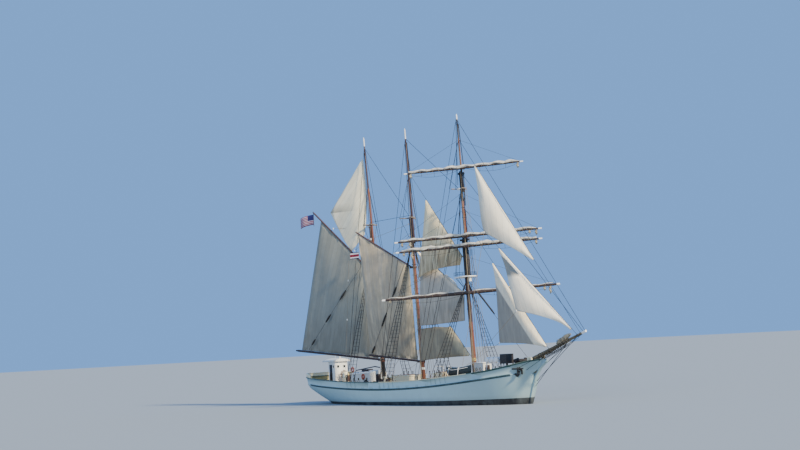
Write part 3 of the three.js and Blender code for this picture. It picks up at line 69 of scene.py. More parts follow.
FLOAT_DEPTH = 0.4
SHEER_LOW_X = -3.0
SHEER_LOW_Z = 3.04
SHEER_AFT = (19.2, 0.8)
SHEER_FORE = (24.4, 1.75)
FORECASTLE_X = 13.4
POOP_X = -14.6
RAIL_DEPTH = 0.09
DECK_GAP = 0.002
Colour = tuple[float, float, float]
Point = tuple[float, float, float]
Pair = tuple[float, float]
Object = bpy.types.Object
Node = bpy.types.Node
Socket = bpy.types.NodeSocket
Tree = bpy.types.NodeTree
SIDES = {"port": 1, "starboard": -1}
NODE_BODY = {
    node: body
    for body, nodes in frame["record"]["behaviour"]["bodies"].items()
    for node in nodes
}


def vec(x: float, y: float, z: float) -> Vector:
    """Full-size offset as an offset in the model."""
    return Vector((x, y, z)) * SCALE


def at(x: float, y: float, z: float) -> Vector:
    """Point of the full-size ship in the frame of the model."""
    return vec(x, y, z - FLOAT_DEPTH)


def full(place: Vector) -> Vector:
    """Point of the model as a point of the full-size ship."""
    return place / SCALE + Vector((0, 0, FLOAT_DEPTH))


def mix(low: float, high: float, part: float) -> float:
    """Value a part of the way from low to high."""
    return low + (high - low) * part


# Node groups and finishes


class Board:
    """Node tree under construction.

    Args:
        tree: the node tree that nodes are added to.
    """

    def __init__(self, tree: Tree) -> None:
        self.tree = tree

    def put(self, kind: str, *values: object, settings: dict | None = None, **named: object) -> Node:
        """Adds a node and fills its sockets.

        Args:
            kind: node type without the ShaderNode prefix.
            values: socket values by place; None leaves a socket alone.
            settings: properties of the node.
            named: socket values by name, with _ for a space.

        Returns:
            The new node.
        """
        node = self.tree.nodes.new(kind if kind.startswith("NodeGroup") else f"ShaderNode{kind}")
        for key, value in (settings or {}).items():
            setattr(node, key, value)
        sockets = [*enumerate(values), *((key.replace("_", " "), value) for key, value in named.items())]
        for key, value in sockets:
            if isinstance(value, Socket):
                self.link(value, node, key)
            elif value is not None:
                node.inputs[key].default_value = value
        return node

    def math(self, operation: str, *values: object) -> Socket:
        """Result of a math node."""
        return self.put("Math", *values, settings={"operation": operation}).outputs[0]

    def blend(self, factor: object, first: object, second: object) -> Socket:
        """Colour mixed from two colours by a mask."""
        node = self.put("Mix", settings={"data_type": "RGBA"})
        for socket, value in ((0, factor), (6, first), (7, second)):
            if isinstance(value, Socket):
                self.link(value, node, socket)
            else:
                node.inputs[socket].default_value = (*value, 1) if isinstance(value, tuple) else value
        return node.outputs[2]

    def remap(self, value: object, *limits: float) -> Socket:
        """Value carried from one range to another and clamped; the limits are both ends of each."""
        return self.put("MapRange", value, *limits).outputs[0]

    def group(self, tree: Tree, **named: object) -> Node:
        """Places a shared group with its own values."""
        return self.put("Group", settings={"node_tree": tree}, **named)

    def link(self, value: Socket, node: Node, socket: int | str) -> None:
        """Feeds a result to a socket of a node."""
        self.tree.links.new(value, node.inputs[socket])

    def within(self, value: object, low: float, high: float) -> Socket:
        """One between two limits and zero beyond them."""
        above, below = self.math("GREATER_THAN", value, low), self.math("LESS_THAN", value, high)
        return self.math("MULTIPLY", above, below)

    def scaled(self, source: Node) -> Socket:
        """First input of a group times its second."""
        vector, factor = source.outputs[:2]
        return self.put("VectorMath", vector, settings={"operation": "SCALE"}, Scale=factor).outputs[0]

    def cloth_map(self) -> Socket:
        """Flat map of a sail or a flag."""
        return self.put("UVMap", settings={"uv_map": "cloth"}).outputs[0]

    def relief(self, shader: Node, strength: float, distance: float, height: object) -> None:
        """Feeds a height to a shader as fine relief."""
        bump = self.put("Bump", Strength=strength, Distance=distance, Height=height)
        self.link(bump.outputs[0], shader, "Normal")


Started = tuple[Board, Node, Node]


def new_group(name: str, inputs: dict[str, float | None], outputs: Sequence[str]) -> Started:
    """Starts a shared node group.

    Args:
        name: name of the group.
        inputs: socket names with their default, or None for a vector.
        outputs: names of the float outputs.

    Returns:
        The board, the group's input node and its output node.
    """
    tree = bpy.data.node_groups.new(name, "ShaderNodeTree")
    for socket, default in inputs.items():
        kind = "NodeSocketVector" if default is None else "NodeSocketFloat"
        made = tree.interface.new_socket(socket, in_out="INPUT", socket_type=kind)
        if default is not None:
            made.default_value = default
    for socket in outputs:
        tree.interface.new_socket(socket, in_out="OUTPUT", socket_type="NodeSocketFloat")
    board = Board(tree)
    return board, board.put("NodeGroupInput"), board.put("NodeGroupOutput")


def shade(colour: Colour, share: float) -> Colour:
    """Colour darkened to a share of itself."""
    return tuple(channel * share for channel in colour)


def once(builder: Callable[[], Tree]) -> Callable[[], Tree]:
    """Keeps the tree that a builder makes, so that it is built only once."""
    made: list[Tree] = []

    def build() -> Tree:
        """Tree from the first call."""
        if not made:
            made.append(builder())
        return made[0]

    return build


@once
def weather_group() -> Tree:
    """Blotches of age and streaks that run down a surface."""
    board, source, sink = new_group("weathering", {"Vector": None, "Scale": 1.0}, ("Blotch", "Streak"))
    broad = board.put("TexNoise", source.outputs[0], Scale=0.9, Detail=5.0, Roughness=0.6)
    fine = board.put("TexNoise", board.scaled(source), Scale=3.0, Detail=6.0, Roughness=0.65)
    halves = (board.math("MULTIPLY", noise.outputs[0], 0.5) for noise in (broad, fine))
    both = board.math("ADD", *halves)
    board.link(board.remap(both, 0.42, 0.66, 0.0, 1.0), sink, 0)
    falling = board.put("Mapping", source.outputs[0], Scale=(7.0, 7.0, 0.55))
    runs = board.put("TexNoise", falling.outputs[0], Scale=1.6, Detail=4.0, Roughness=0.55)
    board.link(board.remap(runs.outputs[0], 0.56, 0.74, 0.0, 1.0), sink, 1)
    return board.tree


@once
def grain_group() -> Tree:
    """Fibres of timber that run along the vector's third axis."""
    board, source, sink = new_group("timber grain", {"Vector": None, "Scale": 1.0}, ("Fibre",))
    long_way = board.put("Mapping", board.scaled(source), Scale=(22.0, 22.0, 1.3))
    fibre = board.put("TexNoise", long_way.outputs[0], Scale=1.0, Detail=6.0, Roughness=0.7, Distortion=0.4)
    board.link(board.remap(fibre.outputs[0], 0.35, 0.7, 0.0, 1.0), sink, 0)
    return board.tree


@once
def seam_group() -> Tree:
    """Lines at an even spacing along a coordinate."""
    board, source, sink = new_group("even seams", {"Coordinate": 0.0, "Spacing": 1.0, "Width": 0.05},
                                    ("Line", "Strip"))
    share = board.math("DIVIDE", source.outputs[0], source.outputs[1])
    near = board.math("ABSOLUTE", board.math("SUBTRACT", board.math("FRACT", share), 0.5))
    distance = board.math("MULTIPLY", board.math("SUBTRACT", 0.5, near), source.outputs[1])
    line = board.math("SUBTRACT", 1.0, board.math("DIVIDE", distance, source.outputs[2]))
    board.link(board.math("MAXIMUM", line, 0.0), sink, 0)
    strip = board.put("TexWhiteNoise", settings={"noise_dimensions": "1D"}, W=board.math("FLOOR", share))
    board.link(strip.outputs[0], sink, 1)
    return board.tree


@once
def sheer_group() -> Tree:
    """Depth of a point below the sheer line of the ship, in the model's metres."""
    board, source, sink = new_group("sheer line", {"Vector": None}, ("Below", "Along"))
    parts = board.put("SeparateXYZ", source.outputs[0])
    along = board.math("ADD", parts.outputs[0], -SHEER_LOW_X * SCALE)
    rises = []
    for limit, (run, rise) in (("MINIMUM", SHEER_AFT), ("MAXIMUM", SHEER_FORE)):
        share = board.math("DIVIDE", board.math(limit, along, 0.0), run * SCALE)
        rises.append(board.math("MULTIPLY", board.math("MULTIPLY", share, share), rise * SCALE))
    line = board.math("ADD", board.math("ADD", *rises), (SHEER_LOW_Z - FLOAT_DEPTH) * SCALE)
    board.link(board.math("SUBTRACT", line, parts.outputs[2]), sink, 0)
    board.link(parts.outputs[0], sink, 1)
    return board.tree


@once
def weave_group() -> Tree:
    """Threads of cloth across and along a flat map in metres."""
    board, source, sink = new_group("canvas weave", {"Vector": None, "Threads": 160.0}, ("Height",))
    parts = board.put("SeparateXYZ", source.outputs[0])
    waves = [board.math("SINE", board.math("MULTIPLY", parts.outputs[i], source.outputs[1])) for i in (0, 1)]
    board.link(board.math("MULTIPLY", waves[0], waves[1]), sink, 0)
    return board.tree


class Pattern(Enum):
    """What the surface of a plain finish shows."""

    PAINT = "paint"
    TIMBER = "timber"
    ROPE = "rope"
    CANVAS = "canvas"


@dataclass(frozen=True)
class Finish:
    """A finish with one main colour, an aged colour and fine relief."""

    name: str
    colour: Colour
    aged: Colour
    roughness: float = 0.5
    pattern: Pattern = Pattern.PAINT
    age: float = 0.4
    metallic: float = 0.0
    bump: float = 0.15
    scale: float = 1.0

    def material(self) -> bpy.types.Material:
        """The finish as a material, made at its first use."""
        found = bpy.data.materials.get(self.name)
        if found:
            return found
        material = bpy.data.materials.new(self.name)
        material.use_nodes = True
        material.diffuse_color = (*self.colour, 1)
        board = Board(material.node_tree)
        self.dress(board, material.node_tree.nodes["Principled BSDF"])
        return material

    def dress(self, board: Board, shader: Node) -> None:
        """Links the pattern of the finish to its shader.

        Args:
            board: the material's tree.
            shader: the Principled shader that the pattern feeds.
        """
        place = board.put("TexCoord").outputs["Object"]
        colour, height = self.surface(board, place)
        weather = board.group(weather_group(), Vector=place, Scale=self.scale)
        mask = board.math("MULTIPLY", weather.outputs["Blotch"], self.age)
        colour = board.blend(mask, colour, self.aged)
        streak = board.math("MULTIPLY", weather.outputs["Streak"], self.age * 0.45)
        colour = board.blend(streak, colour, self.aged)
        board.link(colour, shader, "Base Color")
        rough = board.remap(weather.outputs["Blotch"], 0.0, 1.0, self.roughness,
                            min(1.0, self.roughness + 0.2))
        board.link(rough, shader, "Roughness")
        shader.inputs["Metallic"].default_value = self.metallic
        board.relief(shader, self.bump, 0.004, height)

    def surface(self, board: Board, place: Socket) -> tuple[object, Socket]:
        """Main colour and height of the pattern before it ages.

        Args:
            board: the material's tree.
            place: coordinates on the object.

        Returns:
            The colour, plain or linked, and the height for the relief.
        """
        if self.pattern is Pattern.TIMBER:
            fibre = board.group(grain_group(), Vector=place, Scale=self.scale).outputs[0]
            colour = board.blend(board.math("MULTIPLY", fibre, 0.7), self.colour, shade(self.colour, 0.55))
            return colour, fibre
        if self.pattern is Pattern.ROPE:
            wave = board.put("TexWave", place, settings={"bands_direction": "DIAGONAL"}, Scale=28.0,
                             Distortion=1.0)
            lay = wave.outputs["Fac"]
            return board.blend(lay, self.colour, shade(self.colour, 0.6)), lay
        if self.pattern is Pattern.CANVAS:
            # Painted shade in the creases: darker where the noise folds run deep.
            folds = board.put("TexNoise", place, Scale=9.0, Detail=7.0, Roughness=0.7)
            depth = board.remap(folds.outputs[0], 0.45, 0.7, 0.0, 0.8)
            return board.blend(depth, self.colour, shade(self.colour, 0.6)), folds.outputs[0]
        grit = board.put("TexNoise", place, Scale=60.0, Detail=3.0, Roughness=0.6)
        return self.colour, grit.outputs[0]


@dataclass(frozen=True)
class Planking(Finish):
    """Planks laid along X, with dark caulking between them."""

    plank: float = 0.07
    caulking: Colour = (0.02, 0.018, 0.015)

    def surface(self, board: Board, place: Socket) -> tuple[object, Socket]:
        """Plank colours, each a little apart, and the height with its seams."""
        turned = board.put("Mapping", place, Rotation=(0.0, math.pi / 2, 0.0)).outputs[0]
        fibre = board.group(grain_group(), Vector=turned, Scale=self.scale).outputs[0]
        across = board.put("SeparateXYZ", place).outputs[1]
        seams = board.group(seam_group(), Coordinate=across, Spacing=self.plank, Width=0.006)
        tone = board.math("ADD", *(board.math("MULTIPLY", part, 0.45) for part in (fibre, seams.outputs[1])))
        colour = board.blend(tone, self.colour, shade(self.colour, 0.62))
        colour = board.blend(seams.outputs[0], colour, self.caulking)
        return colour, board.math("SUBTRACT", 1.0, seams.outputs[0])


@dataclass(frozen=True)
class HullPaint(Finish):
    """Topsides paint with a rubbing strake and painted shade toward the bow, above a boot-top that widens
    forward.
    """

    boot: Colour = (0.010, 0.011, 0.014)
    antifouling: Colour = (0.16, 0.035, 0.025)
    stain: Colour = (0.30, 0.35, 0.33)
    strake: Colour = (0.012, 0.045, 0.05)
    strake_band: Pair = (0.76, 0.98)
    strake_run: Pair = (-19.4, 18.0)
    plate_size: Pair = (2.4, 0.62)
    deep_z: float = -0.12
    aft_x: float = -21.5
    length: float = 41.5
    boot_aft: float = 0.3
    boot_rise: float = 0.4
    boot_curve: float = 1.8
    # Painted shade: the colour that the topsides darken to toward the bow, and where along X that happens.
    bow: Colour = (0.32, 0.46, 0.47)
    bow_shade_run: Pair = (6.0, 18.5)

    def surface(self, board: Board, place: Socket) -> tuple[object, Socket]:
        """Paint in bands by height, with shallow plate seams and painted shade toward the bow."""
        parts = board.put("SeparateXYZ", place)
        x, z = parts.outputs[0], parts.outputs[2]
        along = board.remap(x, self.aft_x * SCALE, (self.aft_x + self.length) * SCALE, 0.0, 1.0)
        line = board.math("MULTIPLY", board.math("POWER", along, self.boot_curve), self.boot_rise * SCALE)
        above = board.math("SUBTRACT", z, board.math("ADD", line, self.boot_aft * SCALE))
        length, height = self.plate_size
        seams = board.group(seam_group(), Coordinate=z, Spacing=height, Width=0.012)
        ends = board.group(seam_group(), Coordinate=x, Spacing=length, Width=0.01)
        plate = board.math("MAXIMUM", seams.outputs[0], ends.outputs[0])
        # Painted shade toward the bow.
        start, end = self.bow_shade_run
        colour = board.blend(board.remap(x, start * SCALE, end * SCALE, 0.0, 1.0), self.colour, self.bow)
        colour = board.blend(board.math("MULTIPLY", plate, 0.12), colour, self.aged)
        colour = board.blend(board.remap(above, 0.0, 0.22, 0.5, 0.0), colour, self.stain)
        below = board.group(sheer_group(), Vector=place).outputs["Below"]
        bands = (board.within(value, low * SCALE, high * SCALE)
                 for value, (low, high) in ((below, self.strake_band), (x, self.strake_run)))
        colour = board.blend(board.math("MULTIPLY", *bands), colour, self.strake)
        colour = board.blend(board.math("LESS_THAN", above, 0.0), colour, self.boot)
        deep = board.math("LESS_THAN", z, self.deep_z)
        return board.blend(deep, colour, self.antifouling), board.math("SUBTRACT", 1.0, plate)


@dataclass(frozen=True)
class RailPaint(Finish):
    """Cap rail: dark aft and on the forecastle, cream in the waist."""

    dark: Colour = (0.015, 0.06, 0.055)
    waist: Pair = (-2.75, 12.9)

    def surface(self, board: Board, place: Socket) -> tuple[object, Socket]:
        """Cream between the ends of the waist and dark beyond them."""
        x = board.put("SeparateXYZ", place).outputs[0]
        ends = board.math("MAXIMUM", board.math("LESS_THAN", x, self.waist[0] * SCALE),
                          board.math("GREATER_THAN", x, self.waist[1] * SCALE))
        grit = board.put("TexNoise", place, Scale=60.0, Detail=3.0)
        return board.blend(ends, self.colour, self.dark), grit.outputs[0]


@dataclass(frozen=True)
class PoleFinish(Finish):
    """Mast finish whose colour changes in bands by height, as (height of the top, colour) pairs."""

    bands: tuple[tuple[float, Colour], ...] = ()

    def surface(self, board: Board, place: Socket) -> tuple[object, Socket]:
        """Timber or paint band by band, with fibres along the pole."""
        fibre = board.group(grain_group(), Vector=place, Scale=self.scale).outputs[0]
        height = board.put("SeparateXYZ", place).outputs[2]
        colour: object = self.bands[-1][1]
        for top, band in reversed(self.bands[:-1]):
            colour = board.blend(board.math("LESS_THAN", height, (top - FLOAT_DEPTH) * SCALE), colour, band)
        darker = board.put("HueSaturation", Value=0.6, Color=colour)
        return board.blend(board.math("MULTIPLY", fibre, 0.6), colour, darker.outputs[0]), fibre


@dataclass(frozen=True)
class SailCloth(Finish):
    """Canvas sewn from cloths, with painted light along the luff and painted shade toward the leech and near
    the foot.

    The piece has two maps: "cloth" in metres from the leech, and "lee" with the distance from the
    luff and the share of the height.
    """

    cloth: float = 0.3
    seam_colour: Colour = (0.32, 0.29, 0.22)
    seam_amount: float = 0.4
    seam_width: float = 0.016
    sheen: float = 0.15
    # Painted shade: the colour that the cloth turns to away from the luff, and the distances from the luff
    # over which it turns.
    lee: Colour = (0.50, 0.50, 0.46)
    turn: Pair = (0.1, 1.0)
    # Painted shade over the lower part of the sail, up to a share of its height.
    foot: Colour = (0.34, 0.33, 0.25)
    foot_shade_share: float = 0.0
    # Painted light: how strongly blotches lift the painted shade.
    painted_light_patches: float = 0.25
    # Painted shadow above a share of the height, save a lit strip along the luff this wide.
    shade_above: float = 1.0
    strip: float = 0.12
    contrast: float = 0.16
    # Share of the height of a crease with painted shade just above it; zero for none.
    fold_shade_at: float = 0.0

    def dress(self, board: Board, shader: Node) -> None:
        """Cloths with seams, weave and stains, with painted light in blotches, painted shade that grows
        toward the leech and near the foot, and painted shadows high on the cloth and above a crease.
        """
        place = board.put("TexCoord").outputs["Object"]
        flat = board.cloth_map()
        lee = board.put("SeparateXYZ", board.put("UVMap", settings={"uv_map": "lee"}).outputs[0])
        stretched = board.put("Mapping", flat, Scale=(5.5, 0.7, 1.0)).outputs[0]
        folds = board.put("TexNoise", stretched, Scale=1.0, Detail=4.0, Roughness=0.6).outputs[0]
        # Painted light in blotches, which lift the painted shade below.
        light = board.remap(folds, 0.42, 0.62, 0.0, self.painted_light_patches)
        # Painted shade that grows with the distance from the luff.
        turned = board.remap(lee.outputs[0], self.turn[0], self.turn[1], 0.0, 1.0)
        turned = board.math("MULTIPLY", turned, board.math("SUBTRACT", 1.0, light))
        # Painted shadow over the upper part of the sail, save a lit strip along the luff.
        high = board.remap(lee.outputs[1], self.shade_above - 0.02, self.shade_above + 0.02, 0.0, 1.0)
        high = board.math("MULTIPLY", high, board.math("GREATER_THAN", lee.outputs[0], self.strip))
        turned = board.math("MAXIMUM", turned, high)
        colour = board.blend(turned, self.colour, self.lee)
        # Painted shade near the foot, uneven at its upper edge.
        low = board.remap(lee.outputs[1], self.foot_shade_share - 0.12, self.foot_shade_share + 0.05, 1.0, 0.0)
        foot_shade = board.math("MULTIPLY", low, board.remap(folds, 0.4, 0.58, 1.0, 0.25))
        colour = board.blend(foot_shade if self.foot_shade_share else 0.0, colour, self.foot)
        # Painted shade in a band just above a crease.
        if self.fold_shade_at:
            over = board.remap(lee.outputs[1], self.fold_shade_at, self.fold_shade_at + 0.1, 0.9, 0.0)
            over = board.math("MULTIPLY", over, board.math("GREATER_THAN", lee.outputs[1], self.fold_shade_at))
            over = board.math("MULTIPLY", over, board.remap(lee.outputs[0], 0.3, 1.6, 0.0, 1.0))
            colour = board.blend(over, colour, self.foot)
        across = board.put("SeparateXYZ", flat).outputs[0]
        seams = board.group(seam_group(), Coordinate=across, Spacing=self.cloth, Width=self.seam_width)
        weave = board.group(weave_group(), Vector=flat)
        weather = board.group(weather_group(), Vector=place, Scale=self.scale)
        colour = board.blend(board.math("MULTIPLY", seams.outputs[1], self.contrast), colour, self.aged)
        colour = board.blend(board.math("MULTIPLY", weather.outputs["Blotch"], self.age), colour, self.aged)
        colour = board.blend(board.math("MULTIPLY", seams.outputs[0], self.seam_amount), colour,
                             self.seam_colour)
        board.link(colour, shader, "Base Color")
        shader.inputs["Roughness"].default_value = self.roughness
        shader.inputs["Sheen Weight"].default_value = self.sheen
        height = board.math("ADD", board.math("MULTIPLY", weave.outputs[0], 0.15), seams.outputs[0])
        height = board.math("ADD", height, board.math("MULTIPLY", folds, 1.5))
        board.relief(shader, 0.35, 0.012, height)


@dataclass(frozen=True)
class FlagCloth(Finish):
    """Woven flag; its map runs from 0 to 1 along the fly and up the hoist."""

    threads: float = 900.0

    def stripes_at(self, board: Board, fly: object, hoist: object) -> Socket:
        """Colour of the flag at a place on its map."""
        raise NotImplementedError

    def dress(self, board: Board, shader: Node) -> None:
        """The flag's stripes over a fine weave."""
        flat = board.cloth_map()
        fly, hoist = board.put("SeparateXYZ", flat).outputs[:2]
        board.link(self.stripes_at(board, fly, hoist), shader, "Base Color")
        shader.inputs["Roughness"].default_value = self.roughness
        weave = board.group(weave_group(), Vector=flat, Threads=self.threads)
        board.relief(shader, 0.2, 0.002, weave.outputs[0])


@dataclass(frozen=True)
class Bunting(FlagCloth):
    """Even stripes along the fly and a plain canton by the staff."""

    stripes: int = 13
    stripe_colours: tuple[Colour, Colour] = ((0.20, 0.006, 0.03), (0.42, 0.37, 0.46))
    canton: Colour = (0.01, 0.012, 0.10)
    canton_size: Pair = (0.42, 0.54)

    def stripes_at(self, board: Board, fly: object, hoist: object) -> Socket:
        """Stripe or canton at a place on the map."""
        stripe = board.math("MODULO", board.math("FLOOR", board.math("MULTIPLY", hoist, self.stripes)), 2.0)
        near = board.math("LESS_THAN", fly, self.canton_size[0])
        high = board.math("GREATER_THAN", hoist, 1 - self.canton_size[1])
        striped = board.blend(stripe, *self.stripe_colours)
        return board.blend(board.math("MULTIPLY", near, high), striped, self.canton)


@dataclass(frozen=True)
class SignalCloth(FlagCloth):
    """Five stripes that mirror about the middle of the hoist."""

    threads: float = 700.0
    inner: Colour = (0.80, 0.76, 0.78)
    outer: Colour = (0.02, 0.02, 0.06)
    middle_half: float = 0.2
    inner_half: float = 0.38

    def stripes_at(self, board: Board, fly: object, hoist: object) -> Socket:
        """Stripe by the distance from the middle."""
        off = board.math("ABSOLUTE", board.math("SUBTRACT", hoist, 0.5))
        colour = board.blend(board.math("GREATER_THAN", off, self.middle_half), self.colour, self.inner)
        return board.blend(board.math("GREATER_THAN", off, self.inner_half), colour, self.outer)


WHITE = Finish("gloss white paint", (0.95, 0.93, 0.86), (0.62, 0.58, 0.48), 0.35, age=0.3)
# White topsides paint, with its base colour darkened and tinted blue-green as painted shade.
HULL_WHITE = HullPaint("topsides paint", (0.46, 0.64, 0.635), (0.36, 0.42, 0.39), 0.5, age=0.2, bump=0.12)
RAIL_PAINT = RailPaint("cap rail paint", (0.74, 0.66, 0.42), (0.35, 0.32, 0.22), 0.45, age=0.3)
STERN_GREEN = Finish("dark green paint", (0.015, 0.075, 0.07), (0.05, 0.09, 0.08), 0.4)
BULWARK_CREAM = Finish("cream bulwark paint", (0.78, 0.68, 0.34), (0.50, 0.42, 0.24), 0.45, age=0.35)
CREAM = Finish("cream paint", (0.97, 0.89, 0.62), (0.64, 0.56, 0.36), 0.45, age=0.3)
BLACK = Finish("black paint", (0.014, 0.015, 0.017), (0.07, 0.055, 0.045), 0.5)
# White paint darkened and tinted blue-green like the topsides, as painted shade.
FLAP_PAINT = Finish("flap paint", (0.40, 0.57, 0.57), (0.26, 0.34, 0.33), 0.5, age=0.3)
PLATE_GREY = Finish("chainplate paint", (0.16, 0.24, 0.25), (0.10, 0.13, 0.13), 0.6, age=0.3)
DARK_IRON = Finish("tarred ironwork", (0.02, 0.02, 0.022), (0.10, 0.06, 0.04), 0.55, metallic=0.4)
BRONZE = Finish("cast bronze", (0.50, 0.33, 0.12), (0.12, 0.22, 0.16), 0.35, age=0.5, metallic=0.95)
VARNISH = Finish("varnished spar", (0.24, 0.10, 0.05), (0.12, 0.055, 0.035), 0.35, Pattern.TIMBER, bump=0.2)
DARK_WOOD = Finish("dark varnished wood", (0.05, 0.028, 0.022), (0.03, 0.02, 0.016), 0.4, Pattern.TIMBER)
LOCKER_WOOD = Finish("locker varnish", (0.045, 0.038, 0.036), (0.03, 0.026, 0.024), 0.5, Pattern.TIMBER)
SPRIT_WOOD = Finish("bowsprit wood", (0.25, 0.19, 0.10), (0.13, 0.10, 0.06), 0.55, Pattern.TIMBER, 0.5)
WHEEL_BROWN = Finish("wheel varnish", (0.11, 0.05, 0.028), (0.07, 0.03, 0.02), 0.35, Pattern.TIMBER)
HATCH_BROWN = Finish("hatch boards", (0.22, 0.13, 0.07), (0.12, 0.08, 0.05), 0.6, Pattern.TIMBER, 0.5)
BOAT_PAINT = Finish("boat paint", (0.014, 0.03, 0.035), (0.05, 0.05, 0.045), 0.4)
BOOM_BROWN = Finish("boom varnish", (0.05, 0.026, 0.022), (0.03, 0.02, 0.018), 0.4, Pattern.TIMBER)
GAFF_BROWN = Finish("gaff varnish", (0.11, 0.055, 0.04), (0.05, 0.03, 0.025), 0.4, Pattern.TIMBER)
GREY_WOOD = Finish("weathered wood", (0.28, 0.22, 0.16), (0.15, 0.12, 0.09), 0.7, Pattern.TIMBER, 0.5)
DECK = Planking("scrubbed deck", (0.46, 0.36, 0.24), (0.25, 0.20, 0.14), 0.75, age=0.3, bump=0.3)
TARRED = Finish("tarred hemp", (0.022, 0.018, 0.015), (0.06, 0.05, 0.04), 0.8, Pattern.ROPE)
MANILA = Finish("manila rope", (0.34, 0.27, 0.17), (0.20, 0.16, 0.11), 0.85, Pattern.ROPE)
WIRE = Finish("served wire", (0.09, 0.09, 0.095), (0.05, 0.045, 0.04), 0.5, age=0.5, metallic=0.6)
FURLED = Finish("furled canvas", (0.72, 0.69, 0.60), (0.30, 0.28, 0.22), 0.9, Pattern.CANVAS, 0.7,
                bump=1.0, scale=2.5)
BUNDLED = Finish("bundled canvas", (0.50, 0.44, 0.30), (0.16, 0.13, 0.09), 0.9, Pattern.CANVAS, 0.8,
                 bump=1.0, scale=3.0)
CHAFING = Finish("chafing gear", (0.03, 0.027, 0.025), (0.07, 0.06, 0.05), 0.95, Pattern.CANVAS, bump=1.0)
LIFE_RED = Finish("lifebuoy orange", (0.62, 0.10, 0.03), (0.40, 0.10, 0.05), 0.5, age=0.3)
RAFT_WHITE = Finish("moulded shell", (0.95, 0.95, 0.92), (0.66, 0.66, 0.63), 0.3, age=0.25)
WINDOW = Finish("dark glazing", (0.015, 0.022, 0.028), (0.03, 0.035, 0.04), 0.08, age=0.2, bump=0.02)
# Lit cream along the luff, with painted shade toward the leech.
JIB_SAIL = SailCloth(
    "jib canvas", (1.0, 0.91, 0.70), (0.64, 0.55, 0.38), 0.85, age=0.25, lee=(0.52, 0.46, 0.35),
    turn=(0.4, 1.4), seam_amount=0.25,
)
# Painted shade toward the leech, and a painted shadow over the top third of the cloth save a lit strip along
# the luff.
OUTER_JIB = SailCloth(
    "outer jib canvas", (1.0, 0.91, 0.70), (0.62, 0.54, 0.40), 0.85, age=0.25, lee=(0.27, 0.26, 0.22),
    turn=(0.6, 1.7), seam_amount=0.25, shade_above=0.66, strip=0.2,
)
SHADED_JIB = SailCloth(
    "shaded jib canvas", (1.0, 0.88, 0.64), (0.36, 0.33, 0.27), 0.85, age=0.3, lee=(0.275, 0.245, 0.20),
    turn=(0.5, 0.56), seam_amount=0.3, painted_light_patches=0.1,
)
# Painted light in blotches over the cloth, and painted shade over its lower part.
SUNLIT_BLOTCH_SAIL = SailCloth(
    "patched canvas", (1.0, 0.84, 0.50), (0.50, 0.36, 0.18), 0.85, age=0.2, contrast=0.4,
    lee=(1.0, 0.82, 0.50), turn=(0.2, 2.2), foot=(0.33, 0.24, 0.14), foot_shade_share=0.44, painted_light_patches=0.7,
)
# Painted shade over all but a narrow lit strip along the luff, and more of it near the foot.
SHADED_STAYSAIL_CLOTH = SailCloth(
    "blue-grey canvas", (0.95, 0.83, 0.62), (0.40, 0.34, 0.26), 0.9, age=0.35, contrast=0.4,
    lee=(0.49, 0.43, 0.34), turn=(0.12, 0.3), seam_colour=(0.18, 0.16, 0.13), foot=(0.34, 0.29, 0.22),
    foot_shade_share=0.3,
)
# Painted shade over all but a strip along the luff.
DIM_SAIL = SailCloth(
    "dim canvas", (0.85, 0.68, 0.38), (0.20, 0.16, 0.10), 0.9, contrast=0.4, lee=(0.29, 0.24, 0.16),
    turn=(0.12, 0.6), seam_colour=(0.09, 0.08, 0.06),
)
# Weathered canvas, with painted shade over most of it away from the luff and near the foot.
AGED_SHADED_MAINSAIL = SailCloth(
    "greyed canvas", (0.76, 0.62, 0.38), (0.28, 0.23, 0.16), 0.9, age=0.5, contrast=0.4,
    lee=(0.46, 0.40, 0.30), turn=(0.2, 0.8), seam_colour=(0.17, 0.15, 0.11), foot=(0.29, 0.25, 0.18),
    foot_shade_share=0.36, painted_light_patches=0.5,
)
# Base colour darkened as painted shade, for a sail that lies in shade; weathered, with more painted shade
# near the foot.
SHADED_MIZZEN_CLOTH = SailCloth(
    "slate canvas", (0.32, 0.32, 0.26), (0.19, 0.19, 0.16), 0.9, age=0.45, contrast=0.38,
    lee=(0.27, 0.28, 0.24), turn=(0.3, 2.5), seam_colour=(0.12, 0.12, 0.10), foot=(0.22, 0.21, 0.17),
    foot_shade_share=0.3, painted_light_patches=0.4,
)
# Mild painted shade toward the leech, and painted shade in a band just above a crease across the sail.
TOPSAIL_CLOTH = SailCloth(
    "topsail canvas", (1.0, 0.92, 0.66), (0.66, 0.57, 0.38), 0.88, age=0.25, contrast=0.3,
    lee=(0.90, 0.83, 0.62), turn=(0.5, 1.6), seam_colour=(0.34, 0.29, 0.19), foot=(0.30, 0.28, 0.21),
    fold_shade_at=0.44,
)
ENSIGN_CLOTH = Bunting("ensign bunting", (0.5, 0.1, 0.1), (0.4, 0.1, 0.1), 0.8)
SIGNAL_CLOTH = SignalCloth("signal bunting", (0.22, 0.01, 0.03), (0.2, 0.05, 0.05), 0.8)

MAST_WHITE: Colour = (0.80, 0.81, 0.80)
MAST_BLACK: Colour = (0.02, 0.018, 0.018)
MAST_BROWN: Colour = (0.16, 0.06, 0.035)
MAST_RED: Colour = (0.23, 0.078, 0.042)
MAST_DARK: Colour = (0.06, 0.03, 0.032)
MAST_OCHRE: Colour = (0.62, 0.45, 0.12)


# Mesh helpers


def deselect() -> None:
    """Leaves nothing selected."""
    bpy.ops.object.select_all(action="DESELECT")


def activate(obj: Object) -> Object:
    """Selects one object alone and makes it active."""
    deselect()
    obj.select_set(True)
    bpy.context.view_layer.objects.active = obj
    return obj


def settle(obj: Object) -> Object:
    """Moves an object's place into its mesh."""
    obj.data.transform(obj.matrix_world)
    obj.matrix_world = Matrix.Identity(4)
    return obj


